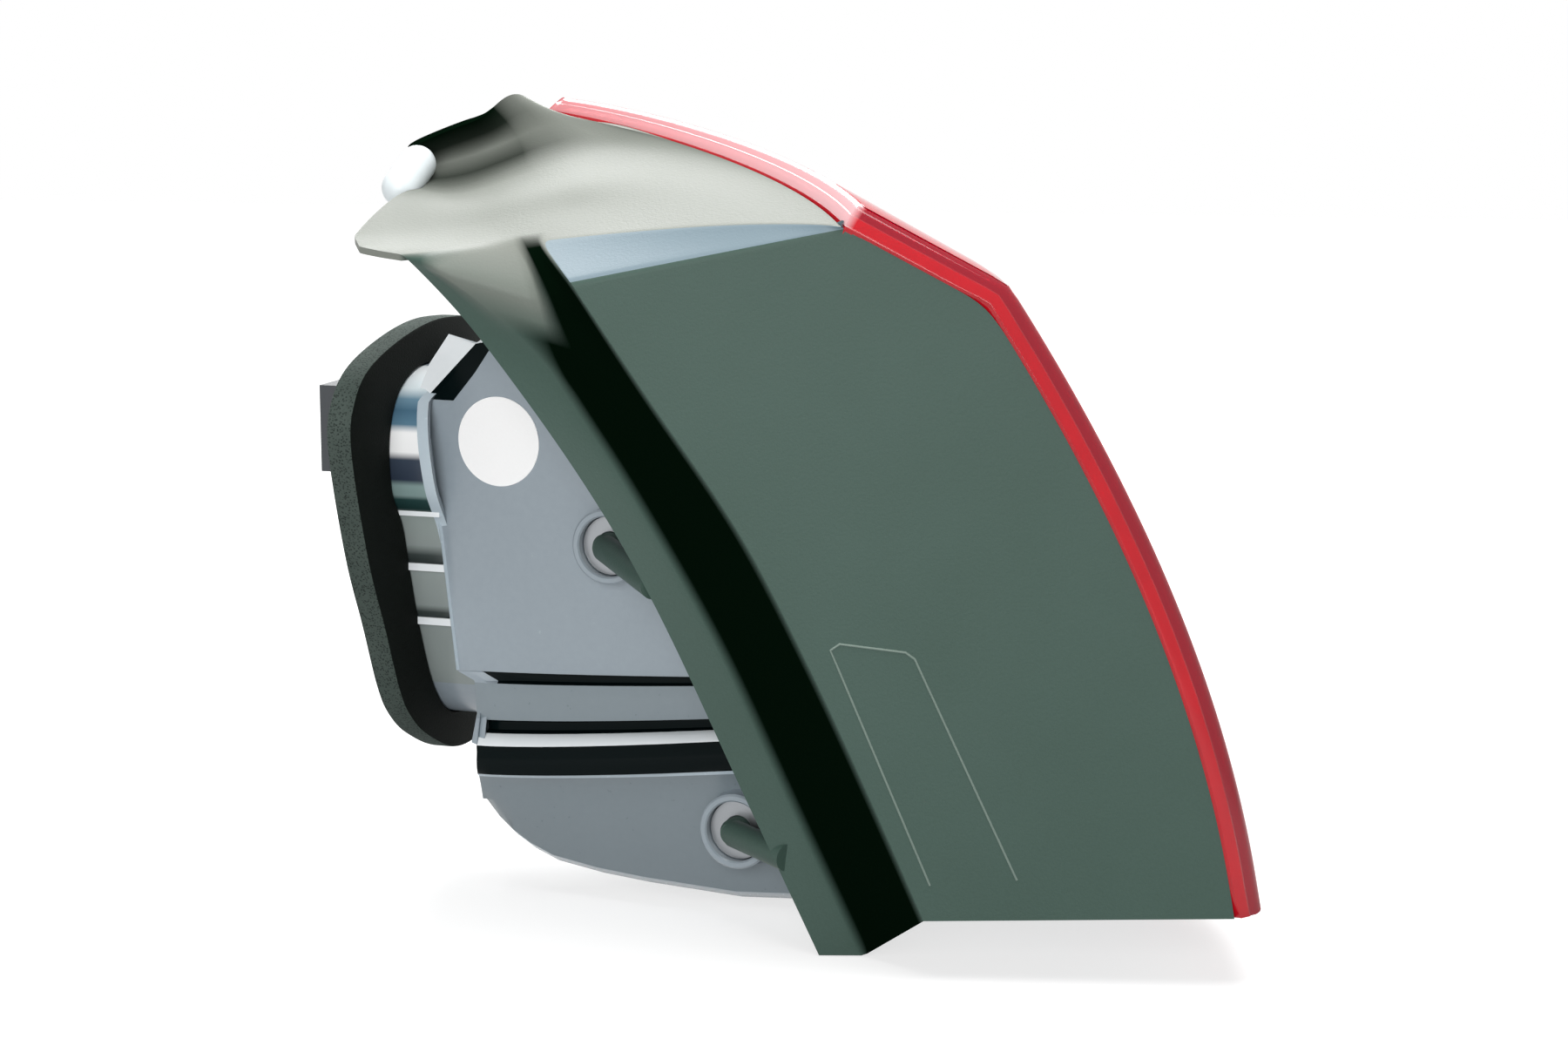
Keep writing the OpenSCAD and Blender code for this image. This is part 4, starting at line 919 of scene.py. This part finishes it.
# Rows from the panel's top over the shoulder to the upstand's edge, each from the wing's tip to the lens
SHOULDER_ROWS = [
    [(-114.5, 12, 222.5), (-93.4, 16, 224.8), (-72.6, 16, 226.9),
     (-46.8, 11, 230.1), (-19.1, 5.5, 233), (9, 0, 235.6)],
    [(-132.3, 20, 225.8), (-107, 30, 227.6), (-80.3, 32, 232.7),
     (-55.4, 31.5, 236.7), (-33, 28, 241), (-12, 28, 244)],
    [(-127, 50, 238), (-107, 46, 234.5), (-85, 48, 239.5),
     (-66, 49, 243.5), (-48, 49.5, 247), (-31, 50, 250)],
    [(-121, 62, 239.5), (-111, 63, 238.5), (-97, 70, 243.5),
     (-84, 75, 249), (-70, 75.5, 253), (-56, 73.5, 255.5)],
    [(-126, 77, 245), (-114, 83, 248), (-102, 90, 252.5),
     (-92.5, 91, 256.5), (-84, 89, 259.5), (-76, 86.5, 261)],
    [(-129.5, 70, 251.5), (-118.5, 77, 257), (-107.5, 84, 261.5),
     (-103.5, 93, 267), (-99, 98, 270), (-94, 97, 267)]]
ROW_STOPS = [0, 8 / 3, 16 / 3, 8, 10, 12]
SIDE_ROWS, SHOULDER_CUTS, UPSTAND_CUTS, TOP_START = 20, 8, 4, 15
TOP_CUTS = SHOULDER_CUTS + UPSTAND_CUTS
SIDE_COLUMNS = [(0, 0), (0, 0.5), (0, 0.94), (1, 0.06), (1, 0.35), (1, 0.68), (1, 0.97), (2, 0), (2, 0.015),
                (2, 0.35), (2, 0.7), (2, 0.95), (2, 1)]
ACROSS = [0, 0.13, 0.22, 0.28, 0.31, 0.36, 0.4, 0.42, 0.45, 0.59, 0.76, 0.93, 1]
ACROSS_AT_FOLD = [0, 0.13, 0.22, 0.3, 0.31, 0.322, 0.332, 0.345, 0.37, 0.5, 0.72, 0.93, 1]
FOLD_ROWS, FOLD_FROM, FOLD_BACK, FOLD_FORWARD = 3, 0.78, 7.0, 9.0
# Columns of the net where the band starts and ends, and the numbers of the trim's finishes, three of them
# with painted light
BAND_EDGE, RIDGE = 3, 7
GRAINED, PAINTED_PALE_END, PAINTED_SKY_FACET, PAINTED_LIT_LINE = 0, 1, 2, 3
# The hollow of the upstand gets the band's painted shade, lighter along a strip in its middle
HOLLOW_ROW = SIDE_ROWS + 1 + SHOULDER_CUTS
HOLLOW_SHADE, HOLLOW_COLUMNS = [0.3, 0.85, 0.45, 0.95, 1.0], [RIDGE, RIDGE + 2, RIDGE + 3]


def side_row(t):
    """One row up the side. Near the top the lip narrows to a folded sliver beside the shoulder."""
    rails = [through(rail, t) for rail in (LIP_RAIL, BAND_RAIL, RIDGE_RAIL)]
    rails.append(edge(t) - TRIM_GAP * edge_out(t))
    turn = max(0, (t - FOLD_FROM) / (1 - FOLD_FROM))
    row = []
    for number, (strip, share) in enumerate(SIDE_COLUMNS):
        if number in (1, 2):
            share = float(mix(share, share * 0.12, turn))
        forward = FOLD_FORWARD * turn * (2 <= number <= 4) * (1 - 0.5 * turn)
        row.append(mix(rails[strip], rails[strip + 1], share) + forward * np.array([0.17, -1, 0.17]))
    row[0] = row[0] + np.array([0.35, 1, -0.25]) * FOLD_BACK * turn * (1 - 0.75 * turn)
    return row


top_rim = Rim(rim_walk(np.linspace(0, 1, TOP_START + 1), np.linspace(0, 1, TOP_CUTS + 1)), 0)


def top_edge(i):
    gap = TRIM_GAP * np.array([1.6, 1.6, 0.6]) * (1.5 if i > SHOULDER_CUTS else 1)
    return top_rim.edge[TOP_START + i] - gap


def net_rows():
    """Rows over the shoulder and up the upstand, drawn through the given rows and up to the lens."""
    lines = []
    for stop, row in zip(ROW_STOPS, SHOULDER_ROWS):
        low = int(stop)
        lines.append(row + [mix(top_edge(low), top_edge(min(TOP_CUTS, low + 1)), stop - low)])
    places = [(lines[:4], i / SHOULDER_CUTS) for i in range(SHOULDER_CUTS + 1)]
    places += [(lines[3:], i / UPSTAND_CUTS) for i in range(1, UPSTAND_CUTS + 1)]
    rows = []
    for i, (group, s) in enumerate(places):
        path = [through(line, s) for line in zip(*group)]
        across = mix(ACROSS_AT_FOLD, ACROSS, min(1, i / FOLD_ROWS))
        rows.append([top_edge(i) if u == 1 else through(path, u) for u in across])
    return rows


trim_rows = [side_row(i / SIDE_ROWS) for i in range(SIDE_ROWS + 1)] + net_rows()
row_count, column_count = len(trim_rows), len(SIDE_COLUMNS)
trim = build("trim_moulding", [p for row in trim_rows for p in row], sheet_faces(row_count, column_count))
mesh = opened(trim)
creased = mesh.edges.layers.float.new("crease_edge")


def fold(places, sharpness):
    """Keeps a line of the net sharp, from its row and column places."""
    for (i, j), (k, m) in zip(places, places[1:]):
        seam = mesh.edges.get((mesh.verts[i * column_count + j], mesh.verts[k * column_count + m]))
        seam[creased] = sharpness


last = column_count - 1
fold_row = int(FOLD_FROM * SIDE_ROWS)
fold([(SIDE_ROWS, j) for j in range(RIDGE, column_count)], 0.95)
fold([(SIDE_ROWS + 1, j) for j in range(RIDGE, column_count)], 0.9)
for column, first, end, sharpness in (
        (RIDGE, 0, SIDE_ROWS + 2, 0.9), (BAND_EDGE, fold_row, SIDE_ROWS + 2, 0.6),
        (2, fold_row, SIDE_ROWS + 1, 0.9), (last, 0, row_count, 1.0), (0, 0, row_count, 0.6)):
    fold([(i, column) for i in range(first, end)], sharpness)
fold([(0, j) for j in range(column_count)], 1.0)
corners = mesh.verts.layers.float.new("crease_vert")
for j in (0, 2, BAND_EDGE, RIDGE, last):
    mesh.verts[j][corners] = 1.0
for i in (SIDE_ROWS + 3, SIDE_ROWS + 4):
    mesh.verts[i * column_count][corners] = 0.8
# A painted shade darkens the band between its edge and the ridge, and a painted sheen of the sky pales the
# shoulder from beside the fold
painted_band_shade, shoulder = (mesh.verts.layers.float.new(attribute) for attribute in ("painted_band_shade", "shoulder"))
for number, point in enumerate(mesh.verts):
    row, column = divmod(number, column_count)
    above_fold = row > SIDE_ROWS - 3
    if row > SIDE_ROWS:
        point[shoulder] = 1.0
    elif column in (2, BAND_EDGE):
        point[shoulder] = float(np.interp(row, [SIDE_ROWS - 3, SIDE_ROWS - 1], [0, 0.7]))
    if row <= SIDE_ROWS + 1 and BAND_EDGE + above_fold <= column < RIDGE:
        point[painted_band_shade] = 1.0
    if row >= HOLLOW_ROW:
        point[painted_band_shade] = HOLLOW_SHADE[row - HOLLOW_ROW] * float(np.interp(column, HOLLOW_COLUMNS, [1, 0.5, 0]))
# The facet above the ridge gets a painted highlight
for number, face in enumerate(mesh.faces):
    row, column = divmod(number, column_count - 1)
    face.material_index = PAINTED_SKY_FACET if row == SIDE_ROWS and column >= RIDGE else GRAINED
closed(mesh, trim)
smooth_surface = trim.modifiers.new("surface", "SUBSURF")
smooth_surface.levels = smooth_surface.render_levels = 3
thickness = trim.modifiers.new("wall", "SOLIDIFY")
thickness.thickness = TRIM_WALL * MM
thickness.offset = -1
settled(trim)

# Details of the trim, moulded with it: raised lines that frame a thin pad on the panel, two stays that snap
# into the collars of the housing, and a rolled end that stiffens the front of the upstand.
PAD_CORNERS = [(54.5, 31), (23.7, 104.8), (26.5, 106.8), (46.5, 104.5), (49.3, 102.5), (84, 27)]
PAD_LINE_R = 0.35
STAY_R, STAY_AROUND, STAY_ENDS = 4.5, 32, np.array([(-36, 18, 119), (6, 20.5, 32)])
ROLL_R, ROLL_FROM, ROLL_TO = 6.2, np.array([-129, 61.5, 239.6]), np.array([-125.8, 70, 246.8])
trim_skin = BVHTree.FromObject(trim, bpy.context.evaluated_depsgraph_get())


def on_panel(x, z):
    """Point of the trim's outer face that is seen at x and z from the inner side of the lamp."""
    found = trim_skin.ray_cast(Vector(in_model([x, -100, z])), Vector((0, 1, 0)))[0]
    return np.array(found) / MM + STUD_SEAT


def bead_tree(material):
    """Sweeps a thin round bead along the edges of a line."""
    tree, given, sizes = open_tree("moulded bead", "Bead radius")
    curve = add_node(tree, "GeometryNodeMeshToCurve", None, {"Mesh": given["Shape"]})
    ring = add_node(tree, "GeometryNodeCurvePrimitiveCircle", None,
                    {"Resolution": 8, "Radius": given["Bead radius"]})
    sweep = add_node(tree, "GeometryNodeCurveToMesh", None,
                     {"Curve": curve.outputs["Curve"], "Profile Curve": ring.outputs["Curve"],
                      "Fill Caps": True})
    close_tree(tree, sweep.outputs["Mesh"], material)
    return tree, sizes


# The grained grey-green carries a painted sheen on the shoulder and a painted shade on the band and hollow;
# then a pale end, a facet and a raised line, each with a painted highlight
TRIM_FINISHES = [
    moulded_plastic("ASA, grained grey-green, painted sheen and shade", ("#425750", "#34483f"), 0.9, 0.12, 0.5, 0.22,
                    [("shoulder", "#7b7f78", 1.0), ("painted_band_shade", "#040f07", 0.0)]),
    moulded_plastic("pale rolled end, painted highlight", ("#dfe6e8", "#d3dbde"), 1.5, 0.03, 0.4),
    moulded_plastic("ASA, grained, facet with painted sky light", ("#70828b", "#697b84"), 0.9, 0.08, 0.45, 0.3),
    moulded_plastic("ASA, smooth raised line, painted highlight", ("#76857d", "#6b7a72"), 0.9, 0.02, 0.4, 0.3)]
pad_path = []
for start, end in zip(PAD_CORNERS, PAD_CORNERS[1:]):
    pad_path += [on_panel(*mix(start, end, share)) for share in np.arange(12) / 12]
pad_line = build("panel_pad_line", pad_path, [])
mesh = opened(pad_line)
for pair in zip(list(mesh.verts), list(mesh.verts)[1:]):
    mesh.edges.new(pair)
closed(mesh, pad_line)
# The pad's raised line is given a paler tone as a painted highlight
grown(pad_line, *bead_tree(TRIM_FINISHES[PAINTED_LIT_LINE]), [PAD_LINE_R])
for face in pad_line.data.polygons:
    face.material_index = PAINTED_LIT_LINE
stays = Moulding()
for seat_point, foot in zip(collar_seats, STAY_ENDS):
    root = seat_point + side_out
    knee = root + COLLAR_H * side_out
    axis, run = unit(foot - knee), np.linalg.norm(foot - knee) + 2
    stays.turned(root, side_out, [(0, 0), (STAY_R, 0), (STAY_R, COLLAR_H), (STAY_R * 0.8, COLLAR_H + 2),
                                  (0, COLLAR_H + 3)], STAY_AROUND)
    stays.turned(knee - 1.5 * axis, axis, [(0, 0), (STAY_R * 0.85, 0.6), (STAY_R, 2.2), (STAY_R, run),
                                           (0, run)], STAY_AROUND)
roll_len = float(np.linalg.norm(ROLL_TO - ROLL_FROM))
quarter = [(ROLL_R * math.sin(a), ROLL_R * math.cos(a)) for a in np.linspace(0, math.pi / 2, 8)]
roll = [(r, -h) for r, h in quarter] + [(r, roll_len + h) for r, h in quarter[::-1]]
# The rolled end is painted pale as a highlight
stays.turned(ROLL_FROM, ROLL_TO - ROLL_FROM, roll, STAY_AROUND, PAINTED_PALE_END)
joined(trim, stays.made("trim_stays", []), pad_line)
soften(trim, 38)
fit_piece(trim, "trim_panel", "trim", *TRIM_FINISHES)

# Port gasket: a thick pad of closed-cell foam die cut to the outline of the port, with its edges a little
# crushed and its pores open on the cut sides. It grips the flange and seals the lamp to the body.
GASKET_T, EDGE_ROUND = 9.0, 1.6


def cut_foam(name, tones, pore_mm, pore_depth):
    """Die-cut foam: open pores as pits with painted shade over a dull, slightly mottled face."""
    material, tree = new_material(name)
    place = add_node(tree, "ShaderNodeTexCoord").outputs["Object"]
    pores = add_node(tree, "ShaderNodeTexVoronoi", {"feature": "F1"},
                     {"Vector": place, "Scale": 1 / (pore_mm * MM), "Randomness": 1.0}).outputs["Distance"]
    pits = ranged(tree, pores, 0.0, 1.0, 0.1, 0.5)
    tone = blended(tree, noise(tree, 12, 3.0), tones[1], tones[0])
    return surfaced(material, {"Base Color": blended(tree, pits, tones[2], tone), "Roughness": 0.85,
                               "Specular IOR Level": 0.12, "Normal": bumped(tree, pits, 0.7, pore_depth)})


foam = cut_foam("EPDM foam, die cut", ("#4a544f", "#3a4440", "#1c2220"), 0.8, 0.25)
# The pad's back and inner walls, turned into the housing, get a near-black painted shade
foam_painted_shade = cut_foam("EPDM foam, painted shade", ("#0c120e", "#090e0b", "#050706"), 0.8, 0.1)
gasket = Moulding()
profile = [(0, 0.5 * EDGE_ROUND), (0.4, 0.12 * EDGE_ROUND), (EDGE_ROUND, 0)]
profile += [(GASKET_T - x, inset) for x, inset in profile[::-1]]
outer_slices = [slice_at(flange_outer, x, inset) for x, inset in profile]
inner_slices = [slice_at(flange_inner, x, -0.4 - inset * 0.5) for x, inset in reversed(profile)]
# From its back edge round its inner wall the pad takes the painted shade
gasket.lofted(outer_slices + inner_slices, closed=True, finish=lambda ring, k: int(ring >= len(profile) - 2))
port_gasket = gasket.made("port_gasket_foam", [foam, foam_painted_shade])
soften(port_gasket, 35)
fit_piece(port_gasket, "port_gasket", "gasket")

# Studs: two zinc plated M6 studs, each with a plain round root moulded into its boss. Their threads are
# rolled, with a short plain lead-in at the tip.
THREAD_PITCH, THREAD_DEPTH, LEAD_IN = 1.0, 0.55, 1.2


def threaded(moulding, seat_point, axis, around=28):
    """A rolled thread as a skin whose radius follows the helix, with a plain lead-in at its tip."""
    side = unit(np.cross(axis, [0, 0, 1]))
    other = np.cross(axis, side)
    rings = []
    for h in np.arange(0, STUD_LEN + 0.01, THREAD_PITCH / 6):
        ring = []
        for turn in np.arange(around) / around:
            phase = (h / THREAD_PITCH - turn) % 1
            r = STUD_D / 2 - THREAD_DEPTH * (1 - abs(2 * phase - 1)) * (h > 0.5)
            r = min(r, STUD_D / 2 - 0.6 * max(0, h - STUD_LEN + LEAD_IN))
            a = 2 * math.pi * turn
            ring.append(seat_point + h * axis + r * (math.cos(a) * side + math.sin(a) * other))
        rings.append(ring)
    loops = moulding.lofted(rings)
    moulding.capped(loops[0], flip=True)
    moulding.capped(loops[-1])


zinc = drawn_metal("steel, zinc plated", "#b9bdc0", 0.32, 0.6)
for name, (y, z) in zip(("main_stud", "lower_stud"), STUD_SITES):
    stud = Moulding()
    seat_point = port((BOSS_SEAT, y, z))
    threaded(stud, seat_point, -port_axis)
    stud.turned(seat_point, port_axis, [(0, 0), (bore, 0), (bore, STUD_GRIP), (0, STUD_GRIP)])
    piece = stud.made(name + "_threaded", [zinc])
    soften(piece, 30)
    fit_piece(piece, name, "steel")

# Carrier: a black moulded plate that clips into the port. It holds the three bulb sockets, the stamped brass
# tracks that feed them, and the square shroud of the connector with its ten pins.
black_nylon = moulded_plastic("nylon, glass filled black", ("#31363a", "#26292d"), 0.7, 0.05, 0.45)
dress("bulb_carrier", black_nylon)
seal_foam = cut_foam("foam strip, black", ("#2e302f", "#222423", "#121313"), 0.7, 0.1)
dress("carrier_seal", seal_foam, 40)
track_brass = drawn_metal("brass, stamped", "#c9a55a", 0.3, 0.6, (1.0, 1.0, 0.06))
dress("contact_tracks", track_brass)
pin_brass = drawn_metal("brass, tin flashed", "#d3cdb8", 0.25, 0.5, (0.08, 1.0, 1.0))
dress("connector_pins", pin_brass)

# Spring clips, locating pin, breather cap and label: two pressed steel rings that hold the stays, a white
# acetal ball pin, a rubber cap on the vent and a blank round paper label stuck on the flat side.
spring_steel = drawn_metal("spring steel, phosphated", "#8c8f92", 0.35, 0.7)
dress("spring_clips", spring_steel)
acetal = moulded_plastic("acetal, natural white", ("#eceae4", "#e2e0d9"), 1.5, 0.02, 0.35)
dress("locating_pin", acetal)
rubber = moulded_plastic("EPDM rubber, black", ("#2c2d2e", "#232425"), 0.8, 0.04, 0.6, 0.35)
dress("breather_cap", rubber)


def label_paper(name):
    """Coated label paper: white and almost flat, with faint fibres and a thin satin coat."""
    material, tree = new_material(name)
    fibre = noise(tree, 0.8, 4.0)
    return surfaced(material, {"Base Color": blended(tree, fibre, "#fafafa", "#ffffff"), "Roughness": 0.5,
                               "Normal": bumped(tree, fibre, 0.2, 0.02)})


dress("round_label", label_paper("label paper, coated white"))

# The photograph's view, ten degrees round towards the lens and ten degrees up, over a white studio ground
AZIMUTH, ELEVATION, DISTANCE = math.radians(10), math.radians(10), 1000.0
LOOK_AT = np.array([0, 50, 134.62])
back = np.array([math.sin(AZIMUTH) * math.cos(ELEVATION), -math.cos(AZIMUTH) * math.cos(ELEVATION),
                 math.sin(ELEVATION)])
camera = placed("camera", bpy.data.cameras.new("camera"))
camera.data.sensor_width, camera.data.lens, camera.data.clip_start = 36, 71.43, 0.01
camera.location = in_model(LOOK_AT + DISTANCE * back)
camera.rotation_euler = Vector(-back).to_track_quat("-Z", "Y").to_euler()
bpy.context.scene.camera = camera


def soft_lamp(name, place, size, watts):
    light = bpy.data.lights.new(name, "AREA")
    light.shape = "RECTANGLE"
    light.size, light.size_y = size
    light.energy = watts
    lamp = placed(name, light)
    lamp.location = in_model(place)
    lamp.rotation_euler = Vector(LOOK_AT - np.array(place)).to_track_quat("-Z", "Y").to_euler()


soft_lamp("overhead softbox", (100, -150, 1250), (0.9, 0.7), 14)
soft_lamp("front softbox", (-100, -1450, 450), (1.0, 0.9), 17)
soft_lamp("back softbox", (-150, 1000, 1000), (1.0, 0.7), 20)

ROOM_LIGHT = 0.2
world = bpy.data.worlds.new("white studio")
bpy.context.scene.world = world
world.use_nodes = True
world.node_tree.nodes.clear()


def largest(tree, first, second):
    return add_node(tree, "ShaderNodeMath", {"operation": "MAXIMUM"}, {0: first, 1: second}).outputs[0]


def seen_white(tree):
    """One where a ray comes from the camera, a reflection or through the lens, and zero for diffuse light."""
    ray = add_node(tree, "ShaderNodeLightPath").outputs
    direct = largest(tree, ray["Is Camera Ray"], ray["Is Transmission Ray"])
    return largest(tree, direct, ray["Is Glossy Ray"])


level = add_node(world.node_tree, "ShaderNodeMix", {"data_type": "FLOAT"},
                 {"Factor": seen_white(world.node_tree), "A": ROOM_LIGHT, "B": 1.0})
sky = add_node(world.node_tree, "ShaderNodeBackground", None,
               {"Color": (1, 1, 1, 1), "Strength": level.outputs["Result"]})
add_node(world.node_tree, "ShaderNodeOutputWorld", None, {"Surface": sky.outputs["Background"]})

GROUND_REACH, GROUND_GAP = 3.0, 0.0002
LIFT, LIFT_REACH = (0.7, 1.0), (0.3, 0.8)
ground_z = float(cad_box[0][2]) - GROUND_GAP
corners = [(x * GROUND_REACH, y * GROUND_REACH, ground_z) for x, y in ((-1, -1), (1, -1), (1, 1), (-1, 1))]
ground = build("ground", np.array(corners) / MM + STUD_SEAT, [(0, 1, 2, 3)])
# Pale board, lifted to plain white where the camera sees it, so that only the lamp's shadow shows. The lift
# grows with the distance from the lamp, where less light falls
board_material, tree = new_material("matt pale board")
board = add_node(tree, "ShaderNodeBsdfDiffuse", None, {"Color": linear("#a8a8a8")})
place = add_node(tree, "ShaderNodeTexCoord").outputs["Object"]
away = add_node(tree, "ShaderNodeVectorMath", {"operation": "LENGTH"}, {0: place}).outputs["Value"]
lift = add_node(tree, "ShaderNodeMath", {"operation": "MULTIPLY"},
                {0: seen_white(tree), 1: ranged(tree, away, *LIFT, *LIFT_REACH)})
glow = add_node(tree, "ShaderNodeEmission", None, {"Color": (1, 1, 1, 1), "Strength": lift.outputs[0]})
lit = add_node(tree, "ShaderNodeAddShader", None, {0: board.outputs[0], 1: glow.outputs[0]})
add_node(tree, "ShaderNodeOutputMaterial", None, {"Surface": lit.outputs[0]})
ground.data.materials.append(board_material)
bpy.context.scene.view_settings.view_transform = "Standard"
